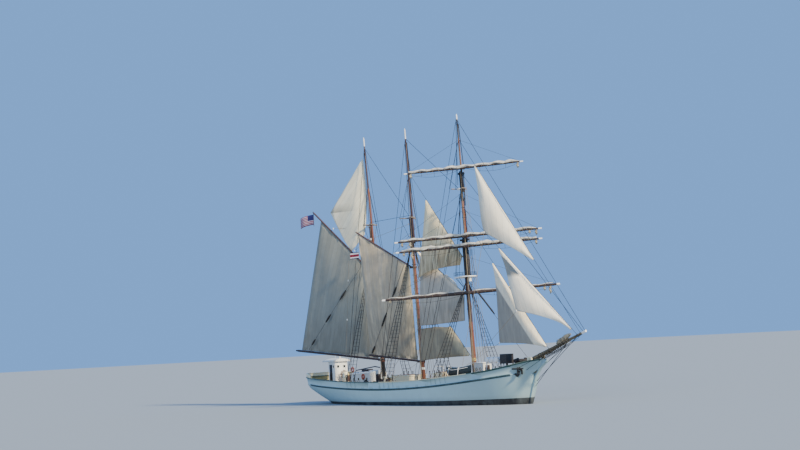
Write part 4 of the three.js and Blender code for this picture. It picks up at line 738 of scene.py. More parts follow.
def modify(obj: Object, kind: str, **settings: object) -> Object:
    """Adds a modifier and applies it."""
    activate(obj)
    modifier = obj.modifiers.new(kind.lower(), kind)
    for key, value in settings.items():
        setattr(modifier, key, value)
    bpy.ops.object.modifier_apply(modifier=modifier.name)
    return obj


def smooth(obj: Object, angle: float = 35.0) -> Object:
    """Shades an object smooth, save over edges sharper than an angle in degrees."""
    activate(obj)
    bpy.ops.object.shade_smooth_by_angle(angle=math.radians(angle))
    return obj


def join(parts: Sequence[Object], name: str) -> Object:
    """Joins objects into one with a new name."""
    activate(parts[0])
    for part in parts:
        part.select_set(True)
    bpy.ops.object.join()
    whole = bpy.context.view_layer.objects.active
    whole.name = name
    return whole


def duplicate(obj: Object, place: Matrix) -> Object:
    """Copy of an object with its own mesh, moved by a matrix."""
    copy = bpy.data.objects.new(obj.name, obj.data.copy())
    bpy.context.scene.collection.objects.link(copy)
    copy.data.transform(place)
    return copy


def lay_out(pattern: Object, places: Iterable[Matrix], name: str) -> Object:
    """Repeats a pattern piece at each place, joins the copies and drops the pattern."""
    copies = [duplicate(pattern, place) for place in places]
    bpy.data.objects.remove(pattern)
    return join(copies, name)


def coat(obj: Object, *finishes: Finish) -> Object:
    """Gives an object new finishes in place of what it has."""
    obj.data.materials.clear()
    for finish in finishes:
        obj.data.materials.append(finish.material())
    return obj


def present(obj: Object, finish: Finish | None, body: str = "ship", *nodes: str) -> Object:
    """Gives a finished piece its finish and its place in the frame.

    Args:
        obj: the piece.
        finish: its finish, or None where its materials are already set.
        body: the CAD body that it moves with.
        nodes: CAD nodes that it replaces.

    Returns:
        The piece.
    """
    if finish is not None:
        coat(obj, finish)
    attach(obj, body)
    if nodes:
        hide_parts(*nodes)
    LOG.info("piece %s on %s with %d faces", obj.name, body, len(obj.data.polygons))
    return obj


def fit(name: str, parts: Sequence[Object], finish: Finish, body: str = "ship", *nodes: str,
        angle: float | None = 35.0, place: Matrix | None = None) -> Object:
    """Joins parts into one finished piece.

    Args:
        name: name of the piece.
        parts: what is joined.
        finish: the finish.
        body: the CAD body that it moves with.
        nodes: CAD nodes that it replaces.
        angle: edges sharper than this, in degrees, stay crisp; None leaves every face flat.
        place: matrix that moves the joined parts, if any.

    Returns:
        The piece.
    """
    piece = join(parts, name)
    if place:
        piece.data.transform(place)
    return present(smooth(piece, angle) if angle else piece, finish, body, *nodes)


def chain(marks: Sequence[tuple[Vector, float]], sides: int) -> list[Object]:
    """Tapered bars from mark to mark, each mark a place and a radius."""
    return [cone(start, end, low, high, sides) for (start, low), (end, high) in zip(marks, marks[1:])]


def aimed(place: Vector, axis: Vector) -> Matrix:
    """Matrix that stands a piece at a place with its Z along an axis."""
    return Matrix.Translation(place) @ axis.to_track_quat("Z", "Y").to_matrix().to_4x4()


def cone(start: Vector, end: Vector, low: float, high: float, sides: int = 16, name: str = "cone") -> Object:
    """Tapered round bar between two points, radii in full-size metres."""
    deselect()
    run = end - start
    bpy.ops.mesh.primitive_cone_add(vertices=sides, radius1=low * SCALE, radius2=high * SCALE,
                                    depth=run.length, end_fill_type="NGON")
    bar = bpy.context.active_object
    bar.name = name
    bar.matrix_world = aimed((start + end) / 2, run)
    return settle(bar)


def crate(low: Point, high: Point, bevel: float = 0.02, name: str = "crate", local: bool = False) -> Object:
    """Box between two full-size corners with rounded edges, about the model's origin where it is local."""
    deselect()
    bpy.ops.mesh.primitive_cube_add(size=1)
    box = bpy.context.active_object
    box.name = name
    size = [(b - a) * SCALE for a, b in zip(low, high)]
    middle = (vec(*low) + vec(*high)) / 2 + (vec(0, 0, 0) if local else at(0, 0, 0))
    box.data.transform(Matrix.Translation(middle) @ Matrix.Diagonal((*size, 1)))
    if bevel:
        modify(box, "BEVEL", width=bevel * SCALE, segments=2)
    return box


def slab(middle: Point, half: Point) -> tuple[Point, Point]:
    """Corners of a box about a point, from its half sizes."""
    low, high = (tuple(m + way * h for m, h in zip(middle, half)) for way in (-1, 1))
    return low, high


def ring(centre: Vector, axis: Vector, radius: float, thick: float, sides: int = 20) -> Object:
    """Round ring about an axis, sizes in full-size metres."""
    deselect()
    bpy.ops.mesh.primitive_torus_add(major_radius=radius * SCALE, minor_radius=thick * SCALE,
                                     major_segments=sides, minor_segments=6)
    loop = bpy.context.active_object
    loop.matrix_world = aimed(centre, axis)
    return settle(loop)


def sag(start: Vector, end: Vector, drop: float, steps: int = 8) -> list[Vector]:
    """Points along a line that hangs by a drop in full-size metres at its middle."""
    return [start.lerp(end, i / steps) - Vector((0, 0, 4 * drop * SCALE * (i / steps) * (1 - i / steps)))
            for i in range(steps + 1)]


@dataclass
class Cordage:
    """Lines of one kind that move with one body and become one piece."""

    name: str
    radius: float
    finish: Finish
    body: str = "ship"
    runs: list[list[Vector]] = field(default_factory=list)

    def line(self, *points: Vector) -> None:
        """Adds a line through points."""
        self.runs.append(list(points))

    def mesh(self) -> Object:
        """The lines as one mesh of round bars."""
        curve = bpy.data.curves.new(self.name, "CURVE")
        curve.dimensions = "3D"
        curve.bevel_depth = self.radius * SCALE
        curve.bevel_resolution = 1
        curve.use_fill_caps = True
        for run in self.runs:
            spline = curve.splines.new("POLY")
            spline.points.add(len(run) - 1)
            for point, place in zip(spline.points, run):
                point.co = (*place, 1)
        obj = bpy.data.objects.new(self.name, curve)
        bpy.context.scene.collection.objects.link(obj)
        activate(obj)
        bpy.ops.object.convert(target="MESH")
        return smooth(bpy.context.view_layer.objects.active, 50)

    def rig(self) -> Object:
        """Builds the piece and puts it in the frame."""
        return present(self.mesh(), self.finish, self.body)


def refined(
    node: str, finish: Finish | None, bevel: float = 0.0, angle: float = 35.0, name: str = ""
) -> Object:
    """Merged copy of a CAD node with soft edges, in place of the node.

    Args:
        node: the CAD node.
        finish: finish of the whole piece, or None where its faces are painted later.
        bevel: width of the rounded edges in full-size metres.
        angle: edges sharper than this, in degrees, stay crisp.
        name: name of the piece.

    Returns:
        The new piece.
    """
    piece = bpy.data.objects.new(name or f"{node}_dressed", frame["nodes"][node].data.copy())
    bpy.context.scene.collection.objects.link(piece)
    activate(piece)
    bpy.ops.object.mode_set(mode="EDIT")
    bpy.ops.mesh.select_all(action="SELECT")
    bpy.ops.mesh.remove_doubles(threshold=1e-5)
    bpy.ops.mesh.dissolve_limited(angle_limit=math.radians(0.4))
    bpy.ops.object.mode_set(mode="OBJECT")
    if bevel:
        modify(piece, "BEVEL", width=bevel * SCALE, segments=2, limit_method="ANGLE",
               angle_limit=math.radians(40), use_clamp_overlap=True)
    smooth(piece, angle)
    return present(piece, finish, NODE_BODY[node], node)


@dataclass(frozen=True)
class Dressing:
    """A CAD node and how its copy is finished."""

    node: str
    finish: Finish
    bevel: float = 0.0
    angle: float = 35.0

    def build(self) -> None:
        """Puts the finished copy in place of the node."""
        refined(self.node, self.finish, self.bevel, self.angle)


@dataclass(frozen=True)
class Box:
    """A plain box: two corners, the width of its edges and its finish."""

    name: str
    low: Point
    high: Point
    edge: float
    finish: Finish

    def build(self) -> None:
        """Adds the box to the ship."""
        present(crate(self.low, self.high, self.edge, self.name), self.finish)


@dataclass(frozen=True)
class Turned:
    """A plain turned piece: its ends, the radius at each and its finish."""

    name: str
    start: Point
    end: Point
    radii: Pair
    sides: int
    finish: Finish
    body: str = "ship"

    def build(self) -> None:
        """Adds the piece to its body."""
        bar = cone(at(*self.start), at(*self.end), *self.radii, self.sides, self.name)
        present(smooth(bar), self.finish, self.body)


def paint_faces(piece: Object, finishes: Sequence[Finish], rule: Callable[[Vector, Vector], int]) -> None:
    """Gives each face one of several finishes.

    Args:
        piece: the piece whose faces are painted.
        finishes: the finishes to choose from.
        rule: index of the finish from a face's centre, in full-size metres, and its normal.
    """
    coat(piece, *finishes)
    for face in piece.data.polygons:
        face.material_index = rule(full(face.center), face.normal)


# Lines of the ship


@dataclass(frozen=True)
class Mast:
    """Where a raked mast stands."""

    name: str
    foot_x: float
    rake: float

    def point(self, height: float, ahead: float = 0.0, side: float = 0.0) -> Vector:
        """Point at a height on the mast, or beside it, in the frame of the model."""
        lean = math.radians(self.rake)
        return at(self.foot_x - height * math.tan(lean) + ahead / math.cos(lean), side, height)

    def axis(self) -> Vector:
        """Direction of the mast, upward."""
        return (self.point(1) - self.point(0)).normalized()


FORE = Mast("fore", 9.88, 3.0)
MAIN = Mast("main", 0.35, 3.1)
MIZZEN = Mast("mizzen", -7.49, 4.4)


Rows = list[Pair]


class HullLines:
    """Rail and side of the ship, read from the frame's bulwark."""

    def __init__(self) -> None:
        stations: dict[float, Rows] = {}
        for vertex in frame["nodes"]["bulwark_port"].data.vertices:
            x, y, z = full(vertex.co)
            stations.setdefault(round(x, 2), []).append((z, y))
        self.stations = sorted((x, rows) for x, rows in stations.items() if len(rows) > 6 and x > -21.25)

    def between(self, x: float, value: Callable[[Rows], float]) -> float:
        """Value of a station's points, carried along to x."""
        after = next((i for i, (station, _) in enumerate(self.stations) if station >= x),
                     len(self.stations) - 1)
        after = max(after, 1)
        (x0, rows0), (x1, rows1) = self.stations[after - 1], self.stations[after]
        return mix(value(rows0), value(rows1), min(1.0, max(0.0, (x - x0) / (x1 - x0))))

    def rail_height(self, x: float) -> float:
        """Height of the top of the cap rail."""
        return self.between(x, lambda rows: max(z for z, _ in rows))

    def rail_breadth(self, x: float) -> float:
        """Half breadth at the outside of the cap rail."""
        return self.between(x, lambda rows: max(y for _, y in rows))

    def wall_breadth(self, x: float, z: float) -> float:
        """Half breadth of the outer face of the plating at a height."""

        def breadth(rows: Rows) -> float:
            """Breadth of one station at the height."""
            low = min(rows)[0]
            top = max(z for z, _ in rows) - 0.08
            at_low = max(y for height, y in rows if height < low + 0.001)
            at_top = max(y for height, y in rows if height < top + 0.001 and height > top - 0.001) - 0.09
            return mix(at_low, at_top, (z - low) / (top - low))

        return self.between(x, breadth)


LINES = HullLines()


def sheer(x: float) -> float:
    """Height of the sheer line."""
    run, rise = SHEER_AFT if x < SHEER_LOW_X else SHEER_FORE
    return SHEER_LOW_Z + rise * ((x - SHEER_LOW_X) / run) ** 2


def deck_height(x: float) -> float:
    """Height of the deck under a point on the centreline."""
    if x > FORECASTLE_X:
        return sheer(x) - 0.1
    return sheer(x) - (0.55 if x < POOP_X else 0.95)


# Sub-assemblies


@dataclass
class HullDress:
    """Hull, bulwarks, decks and what is fixed to them."""

    dressings: tuple[Dressing, ...] = (
        Dressing("hull", HULL_WHITE, angle=28),
        Dressing("keel_and_stem", HULL_WHITE, 0.02, 25),
        Dressing("main_deck", DECK, angle=20),
        Dressing("forecastle_deck", DECK, angle=20),
        Dressing("rudder", HULL_WHITE, 0.02),
        Dressing("propeller", BRONZE, angle=40),
        Dressing("anchor_port", BLACK, angle=40),
        Dressing("anchor_starboard", BLACK, angle=40),
    )
    stern_x: float = -21.3
    stanchion_run: Pair = (-20.2, 13.0)
    stanchion_spacing: float = 1.5
    port_xs: tuple[float, ...] = (-6.2, -4.4, -2.6, -0.8, 1.0, 2.8, 4.6, 6.4)
    port_size: Point = (0.28, 0.02, 0.13)

    def build(self) -> None:
        """Builds and dresses the whole hull."""
        for dressing in self.dressings:
            dressing.build()
        for side in SIDES:
            self.bulwark(side)
            self.lashing(side)
        self.stanchions()
        self.freeing_ports()
        self.moulding()

    def lashing(self, side: str) -> None:
        """Chain and lashings heaped on a stowed anchor.

        Args:
            side: name of the ship's side.
        """
        ring_x, sign = (18.9, -1) if side == "starboard" else (16.2, 1)
        z = sheer(ring_x) - 0.42
        heap = []
        for ahead, drop, size in ((0.12, 0.0, 0.1), (0.2, 0.2, 0.12), (0.16, 0.42, 0.1)):
            x = ring_x + ahead
            y = sign * (LINES.wall_breadth(x, z - drop) + 0.12)
            heap.append(ring(at(x, y, z - drop), Vector((0.3, 1, 0.2)), size, 0.06, sides=12))
        fit(f"anchor_lashing_{side}", heap, BLACK)

    def bulwark(self, side: str) -> None:
        """One bulwark: painted plating, its cap rail, cream inside."""
        piece = refined(f"bulwark_{side}", None, angle=28)
        heights = {vertex.index: full(vertex.co) for vertex in piece.data.vertices}
        coat(piece, HULL_WHITE, RAIL_PAINT, BULWARK_CREAM)
        for face in piece.data.polygons:
            corners = [heights[index] for index in face.vertices]
            capped = all(corner.z > LINES.rail_height(corner.x) - RAIL_DEPTH for corner in corners)
            inside_stern = full(face.center).x < self.stern_x and face.normal.x > 0.5
            inboard = inside_stern or face.normal.y * SIDES[side] < -0.1
            face.material_index = 1 if capped else 2 if inboard else 0

    def stanchions(self) -> None:
        """Frames that stand inside the bulwarks."""
        parts: list[Object] = []
        pattern = crate((-0.05, -0.06, 0), (0.05, 0.06, 1), 0.01, local=True)
        x, last = self.stanchion_run
        while x < last:
            low = deck_height(x) + DECK_GAP
            tall = LINES.rail_height(x) - RAIL_DEPTH - low
            for side in SIDES.values():
                inner = LINES.wall_breadth(x, low + tall / 2) - 0.19
                place = Matrix.Translation(at(x, side * inner, low)) @ Matrix.Diagonal((1, 1, tall, 1))
                parts.append(duplicate(pattern, place))
            x += self.stanchion_spacing
        bpy.data.objects.remove(pattern)
        present(join(parts, "bulwark_stanchions"), BULWARK_CREAM)

    def freeing_ports(self) -> None:
        """Hinged flaps over the slots that let water off the deck."""
        flaps = []
        for x in self.port_xs:
            z = sheer(x) - 0.62
            for side in SIDES.values():
                y = side * (LINES.wall_breadth(x, z) + 0.012)
                flaps.append(crate(*slab((x, y, z), self.port_size), 0.015))
        present(join(flaps, "freeing_port_flaps"), FLAP_PAINT)

    def moulding(self) -> None:
        """Dark mouldings under the forecastle's cap rail, and where the sheer line parts from it."""
        strips = Cordage("sheer_mouldings", 0.055, STERN_GREEN)
        for side in SIDES.values():
            under_cap = [13.6 + i * 0.5 for i in range(15)] + [20.95]
            strips.line(*(self.beside(x, side, LINES.rail_height(x) - 0.12) for x in under_cap))
            strips.line(*(self.beside(x, side, sheer(x)) for x in (16.6, 17.2, 17.7, 18.2)))
        strips.rig()

    def beside(self, x: float, side: int, height: float) -> Vector:
        """Point on the outer face of a bulwark."""
        return at(x, side * (LINES.wall_breadth(x, height) + 0.01), height)


@dataclass
class SpecPole:
    """A mast's pole and the colours along it."""

    node: str
    bands: tuple[tuple[float, Colour], ...]


@dataclass
class MastDress:
    """Masts, tops and crosstrees."""

    poles: tuple[SpecPole, ...] = (
        SpecPole("fore_lower_mast", ((5.0, MAST_BROWN), (5.3, MAST_OCHRE), (9.2, MAST_RED),
                                     (14.0, MAST_DARK), (19, MAST_BLACK))),
        SpecPole("fore_topmast", ((18.1, MAST_BLACK), (22.4, MAST_RED), (26, MAST_BLACK))),
        SpecPole("fore_topgallant_mast",
                 ((26.4, MAST_BLACK), (29.4, MAST_BROWN), (31.5, MAST_BLACK), (33, MAST_WHITE))),
        SpecPole("main_lower_mast",
                 ((4.2, MAST_BROWN), (4.45, MAST_WHITE), (5.3, MAST_BROWN), (10.0, MAST_DARK),
                  (17.2, MAST_RED), (21.5, MAST_DARK), (22.5, MAST_WHITE))),
        SpecPole("main_topmast", ((19.3, MAST_BLACK), (30.8, MAST_DARK), (33, MAST_WHITE))),
        SpecPole("mizzen_lower_mast",
                 ((5.2, MAST_BLACK), (12, MAST_RED), (21.4, MAST_BROWN), (22.5, MAST_WHITE))),
        SpecPole("mizzen_topmast", ((19.3, MAST_BLACK), (26, MAST_RED), (31.2, MAST_DARK), (33, MAST_WHITE))),
    )
    plates: tuple[str, ...] = ("fore_top", "fore_crosstrees", "main_crosstrees", "mizzen_crosstrees")

    def build(self) -> None:
        """Dresses every pole and adds bands, tops and rails."""
        for pole in self.poles:
            finish = PoleFinish(f"{pole.node} finish", MAST_BROWN, MAST_DARK, 0.4, age=0.25, bands=pole.bands)
            refined(pole.node, finish, bevel=0.015)
        for plate in self.plates:
            refined(plate, WHITE if plate == "fore_top" else GREY_WOOD, bevel=0.012)
        cap = cone(FORE.point(23.72, 0.3), FORE.point(23.84, 0.3), 0.42, 0.4, 20, "fore_cap")
        present(smooth(cap), WHITE)
        self.hoops()
        self.top_rail()

    def hoops(self) -> None:
        """Iron bands round the poles and spider bands at the deck."""
        poles = (
            (FORE, 0, 0.27, (5.6, 8.2, 10.6, 13.0)),
            (MAIN, 0, 0.26, (6.0, 9.4, 12.8, 16.2)),
            (MIZZEN, 0, 0.25, (6.6, 9.9, 13.2)),
            (FORE, 0.42, 0.17, (16.0, 20.6, 21.7)),
            (FORE, 0.70, 0.085, (29.3,)),
            (MAIN, 0.36, 0.10, (26.4,)),
            (MIZZEN, 0.34, 0.10, (26.2,)),
        )
        bands = [ring(mast.point(height, ahead), mast.axis(), radius, 0.025, sides=24)
                 for mast, ahead, radius, heights in poles for height in heights]
        fit("mast_bands", bands, DARK_IRON)

    def top_rail(self) -> None:
        """Guard rail round the fore top."""
        rail = Cordage("fore_top_rail", 0.018, TARRED)
        half = [(-1.0, -0.95), (-0.2, -1.1), (0.55, -0.95), (0.95, -0.45)]
        corners = half + [(x, -y) for x, y in reversed(half)]
        for height in (14.38, 14.6):
            rail.line(*(FORE.point(height, x, y) for x, y in corners), FORE.point(height, *corners[0]))
        for x, y in corners:
            rail.line(FORE.point(14.16, x, y), FORE.point(14.6, x, y))
        rail.rig()
        lantern = [cone(FORE.point(low, 0.55), FORE.point(high, 0.55), *radii, 16)
                   for low, high, radii in ((13.6, 14.0, (0.16, 0.16)), (14.0, 14.1, (0.2, 0.08)))]
        fit("masthead_lantern", lantern, WHITE)


@dataclass
class SailPlan:
    """One sail: the CAD node that it replaces, its cloth, its leech and luff, and its flat size."""

    node: str
    finish: Finish
    leech: tuple[Point, Point]
    luff: tuple[Point, Point]
    flat: Pair
    area: float
    rests_on: tuple[str, ...]
    wrinkle: float = 0.012


@dataclass
class SailLoft:
    """Every set sail, cut from cloths and given seams and wrinkles."""

    levels: int = 2
    ensign_droop: float = 0.175
    ensign_hoist: float = 0.625
    plans: tuple[SailPlan, ...] = (
        SailPlan(
            "flying_jib", JIB_SAIL,
            leech=((14.46, -1.5, 18.45), (11.9, 0, 25.7)), luff=((20.5, 0, 15.1), (11.8, 0, 25.9)),
            flat=(1.7, 7.0), area=6.2, rests_on=("flying_jib_stay",),
        ),
        SailPlan(
            "outer_jib", OUTER_JIB,
            leech=((19.28, -1.7, 9.94), (15.1, 0, 16.6)), luff=((25.6, 0, 7.8), (15.1, 0, 16.7)),
            flat=(1.7, 7.0), area=5.7, rests_on=("outer_jib_stay",),
        ),
        SailPlan(
            "inner_jib", SHADED_JIB,
            leech=((15.99, -1.5, 6.77), (14.0, 0, 15.1)), luff=((21.7, 0, 6.24), (13.9, 0, 15.24)),
            flat=(2.3, 6.0), area=6.4, rests_on=("inner_jib_stay",),
        ),
        SailPlan(
            "main_topmast_staysail", SUNLIT_BLOTCH_SAIL,
            leech=((1.8, -1.2, 14.5), (2.5, 0, 23.2)), luff=((8.65, 0, 16.35), (2.5, 0, 23.3)),
            flat=(2.9, 5.5), area=7.8, rests_on=("main_topmast_stay",),
        ),
        SailPlan(
            "middle_staysail", SHADED_STAYSAIL_CLOTH,
            leech=((1.71, -1.25, 9.12), (1.45, -0.35, 16.8)), luff=((8.72, 0, 12.25), (0.1, 0, 17.9)),
            flat=(3.4, 6.1), area=10.3, rests_on=("main_stay",),
        ),
        SailPlan(
            "lower_staysail", DIM_SAIL,
            leech=((1.48, -1.2, 5.2), (1.4, -0.95, 8.8)), luff=((8.97, 0, 5.65), (5.76, 0, 8.9)),
            flat=(2.3, 3.8), area=5.5, rests_on=("lower_main_stay",),
        ),
        SailPlan(
            "main_sail", AGED_SHADED_MAINSAIL,
            leech=((-6.7, -2.5, 6.3), (-6.2, -3.9, 20.1)), luff=((-0.6, -0.2, 5.3), (-1.1, -0.3, 16.2)),
            flat=(3.4, 7.5), area=19.6, rests_on=("main_boom", "main_gaff"),
        ),
        SailPlan(
            "mizzen_sail", SHADED_MIZZEN_CLOTH,
            leech=((-19.6, -4.1, 7.2), (-14.9, -3.3, 22.8)), luff=((-8.4, -0.2, 5.7), (-9.3, -0.3, 16.2)),
            flat=(5.6, 9.0), area=32.0, rests_on=("mizzen_boom", "mizzen_gaff"),
        ),
        SailPlan(
            "mizzen_topsail", TOPSAIL_CLOTH,
            leech=((-14.0, -2.4, 23.6), (-9.9, 0, 29.6)), luff=((-9.9, -0.4, 20.5), (-9.87, -0.05, 29.6)),
            flat=(2.3, 5.8), area=8.1, rests_on=("mizzen_gaff",),
        ),
    )

    def build(self) -> None:
        """Makes each sail and the ensign."""
        for plan in self.plans:
            self.cut(plan)
        self.flag()

    def cloth_copy(self, node: str) -> Object:
        """Smooth closed copy of a CAD sheet."""
        piece = refined(node, None, angle=180, name=f"{node}_cloth")
        activate(piece)
        bpy.ops.object.mode_set(mode="EDIT")
        bpy.ops.mesh.select_all(action="SELECT")
        bpy.ops.mesh.tris_convert_to_quads(face_threshold=math.radians(60), shape_threshold=math.radians(60))
        bpy.ops.mesh.select_all(action="DESELECT")
        bpy.ops.mesh.select_mode(type="EDGE")
        bpy.ops.mesh.edges_select_sharp(sharpness=math.radians(32))
        bpy.ops.transform.edge_crease(value=1.0)
        bpy.ops.object.mode_set(mode="OBJECT")
        return modify(piece, "SUBSURF", levels=self.levels, render_levels=self.levels)

    def cut(self, plan: SailPlan) -> None:
        """Makes one sail.

        Args:
            plan: what the sail is like.
        """
        piece = self.cloth_copy(plan.node)
        mesh = piece.data
        clew, head = (at(*point) for point in plan.leech)
        along = (head - clew).normalized()
        normal = Vector((0, 0, 0))
        for face in mesh.polygons:
            if face.normal.y < 0:
                normal += face.normal * face.area
        normal.normalize()
        across = along.cross(normal).normalized()
        tack, throat = (at(*point) for point in plan.luff)
        luff = (throat - tack).normalized()
        foot, top = (value(vertex.co.z for vertex in mesh.vertices) for value in (min, max))
        flat, lee = (mesh.uv_layers.new(name=name) for name in ("cloth", "lee"))
        for loop in mesh.loops:
            place = mesh.vertices[loop.vertex_index].co
            offset = place - clew
            flat.data[loop.index].uv = (offset.dot(across), offset.dot(along))
            lee.data[loop.index].uv = ((place - tack).cross(luff).length, (place.z - foot) / (top - foot))
        for vertex in mesh.vertices:
            offset = vertex.co - clew
            u, v = offset.dot(across), offset.dot(along)
            ripple = math.sin(u * 9.0 + 0.8 * math.sin(v * 1.3)) * 0.5 + math.sin(u * 3.7 + v * 1.9) * 0.5
            vertex.co += normal * ripple * plan.wrinkle
        coat(smooth(piece, 60), plan.finish)

    def flag(self) -> None:
        """The ensign, with a map along its fly and up its hoist."""
        piece = self.cloth_copy("ensign")
        low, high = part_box("ensign")
        flat = piece.data.uv_layers.new(name="cloth")
        for loop in piece.data.loops:
            place = piece.data.vertices[loop.vertex_index].co
            fly = (high.x - place.x) / (high.x - low.x)
            foot = low.z + self.ensign_droop * (1 - fly * fly)
            flat.data[loop.index].uv = (fly, (place.z - foot) / self.ensign_hoist)
        coat(smooth(piece, 60), ENSIGN_CLOTH)


@dataclass(frozen=True)
class YardPlan:
    """One yard: where its pin is, how long it is and how its sail is stowed."""

    node: str
    height: float
    ahead: float
    length: float
    radius: float
    roll: float
    lumps: int
    loose: tuple[Pair, ...] = ()


@dataclass
class YardDress:
    """Yards with their furled sails, footropes and ironwork."""

    brace: float = 45.0
    hang: float = 0.45
    footrope_drop: float = 0.55
    roll_sides: int = 14
    roll_cuts: int = 75
    plans: tuple[YardPlan, ...] = (
        YardPlan("course_yard", 12.35, 0.45, 19.4, 0.20, 0.09, 11, ((8.6, 0.9), (8.0, 0.5), (-8.9, 0.3))),
        YardPlan("lower_topsail_yard", 17.4, 0.87, 16.0, 0.16, 0.17, 17,
                 ((-6.3, 0.9), (7.3, 0.5), (-7.2, 0.4))),
        YardPlan("upper_topsail_yard", 18.5, 0.87, 16.1, 0.15, 0.15, 15,
                 ((-6.4, 0.65), (7.4, 0.6), (-7.3, 0.5), (6.7, 0.4))),
        YardPlan("topgallant_yard", 25.95, 1.15, 13.1, 0.13, 0.15, 9, ((5.9, 0.6), (-5.9, 0.5))),
    )

    def place(self, plan: YardPlan) -> Matrix:
        """Place of a yard whose spar lies along Y and whose pin is at the origin."""
        lean = Matrix.Rotation(-math.radians(FORE.rake), 4, "Y")
        turn = Matrix.Rotation(-math.radians(self.brace), 4, "Z")
        return Matrix.Translation(FORE.point(plan.height, plan.ahead)) @ lean @ turn

    def build(self) -> None:
        """Builds each yard."""
        for plan in self.plans:
            place = self.place(plan)
            self.spar(plan, place)
            self.furl(plan, place)
            self.footropes(plan, place)

    def spar(self, plan: YardPlan, place: Matrix) -> None:
        """The tapered spar with its yoke, sling band and white tips."""
        half = plan.length / 2
        hang = self.hang
        shares = ((-1.0, 0.5), (-0.62, 0.8), (-0.2, 1.0), (0.2, 1.0), (0.62, 0.8), (1.0, 0.5))
        parts = chain([(vec(hang, y * half, 0), r * plan.radius) for y, r in shares], 16)
        for way in (-1, 1):
            low, high = sorted((way * plan.radius * 0.57, way * plan.radius * 0.85))
            parts.append(crate((-0.09, -0.09, low), (hang, 0.09, high), 0.01, local=True))
        parts.append(cone(vec(0, 0, -plan.radius * 0.7), vec(0, 0, plan.radius * 0.7), 0.044, 0.044, 12))
        for y in (-half * 0.55, -0.5, 0.5, half * 0.55):
            parts.append(ring(vec(hang, y, 0), Vector((0, 1, 0)), plan.radius * 0.98, 0.02, sides=14))
        fit(f"{plan.node}_spar", parts, DARK_WOOD, plan.node, plan.node, place=place)
        tips = [cone(vec(hang, way * (half - 0.34), 0), vec(hang, way * (half + 0.02), 0),
                     plan.radius * 0.62, plan.radius * 0.56, 16) for way in (-1, 1)]
        fit(f"{plan.node}_tips", tips, WHITE, plan.node, place=place)

    def furl(self, plan: YardPlan, place: Matrix) -> None:
        """The sail rolled up on top of the yard under its gaskets."""
        deselect()
        bpy.ops.mesh.primitive_cylinder_add(vertices=self.roll_sides, radius=1, depth=2, end_fill_type="NGON")
        roll = bpy.context.active_object
        roll.name = f"{plan.node}_furled_sail"
        bpy.ops.object.mode_set(mode="EDIT")
        bpy.ops.mesh.select_all(action="SELECT")
        bpy.ops.mesh.bisect(plane_co=(0, 0, 0), plane_no=(0, 0, 1))
        bpy.ops.object.mode_set(mode="OBJECT")
        for edge in roll.data.edges:
            first, second = (roll.data.vertices[index].co.z for index in edge.vertices)
            edge.select = abs(first - second) > 0.5
        activate(roll)
        bpy.ops.object.mode_set(mode="EDIT")
        bpy.ops.mesh.subdivide(number_cuts=self.roll_cuts)
        bpy.ops.object.mode_set(mode="OBJECT")
        half = plan.length * 0.465
        rng = random.Random(plan.node)
        phases = [rng.uniform(0, math.tau) for _ in range(5)]
        for vertex in roll.data.vertices:
            part = vertex.co.z
            turn = math.atan2(vertex.co.y, vertex.co.x)
            reach = 0.0 if vertex.co.xy.length < 0.01 else 1.0
            gasket = abs(math.sin(math.pi * plan.lumps * (part + 1) / 2 + phases[0]))
            ends = max(0.0, 1 - abs(part) ** 7) ** 0.5
            size = plan.roll * (0.62 + 0.38 * gasket ** 0.5) * (0.25 + 0.75 * ends)
            size *= (1 + 0.16 * math.sin(3 * turn + 14 * part + phases[1])
                     + 0.1 * math.sin(5 * turn - 31 * part + phases[2]))
            size *= 1 + 0.22 * math.sin(7.3 * part + phases[3])
            lift = plan.radius * 0.55 + plan.roll * 0.55 + 0.05 * math.sin(23 * part + phases[4])
            droop = 0.85 if math.sin(turn) < 0 else 1.0
            vertex.co = vec(self.hang + 0.04 + reach * size * 1.15 * math.cos(turn), part * half,
                           lift + reach * size * droop * math.sin(turn))
        roll.data.transform(place)
        present(smooth(roll, 80), FURLED, plan.node)
        ties = []
        count = plan.lumps * 2
        for i in range(1, count):
            y = mix(-half, half, i / count)
            ties.append(ring(vec(self.hang + 0.02, y, plan.roll * 0.35), Vector((0, 1, 0.1)),
                             plan.radius * 0.75 + plan.roll * 0.62, 0.014, sides=12))
        fit(f"{plan.node}_gaskets", ties, MANILA, plan.node, angle=None, place=place)
        if plan.loose:
            drops = [part for spot, drop in plan.loose for part in self.hanging(spot, drop)]
            fit(f"{plan.node}_loose_canvas", drops, BUNDLED, plan.node, angle=70, place=place)

    def hanging(self, spot: float, drop: float) -> list[Object]:
        """Slack canvas and gear that hangs under a yard, as tapered lumps.

        Args:
            spot: distance along the yard from its middle.
            drop: how far it hangs.
        """
        marks = ((0.0, 0.0, 0.05), (0.12, 0.2, 0.13), (-0.06, 0.45, 0.10), (0.1, 0.72, 0.14),
                 (0.0, 1.0, 0.03))
        return chain([(vec(self.hang - 0.02, spot + sway, -0.05 - drop * part), size)
                      for sway, part, size in marks], 9)

    def footropes(self, plan: YardPlan, place: Matrix) -> None:
        """Footropes with stirrups."""
        ropes = Cordage(f"{plan.node}_footropes", 0.014, TARRED, plan.node)
        half = plan.length / 2
        for way in (-1, 1):
            start = vec(self.hang - 0.1, way * 0.4, -0.1)
            end = vec(self.hang - 0.05, way * (half - 0.5), -0.08)
            hanging = sag(start, end, self.footrope_drop, 12)
            ropes.line(*(place @ point for point in hanging))
            for i in (3, 6, 9):
                top = vec(self.hang - 0.05, hanging[i].y / SCALE, 0)
                ropes.line(place @ top, place @ hanging[i])
        ropes.rig()


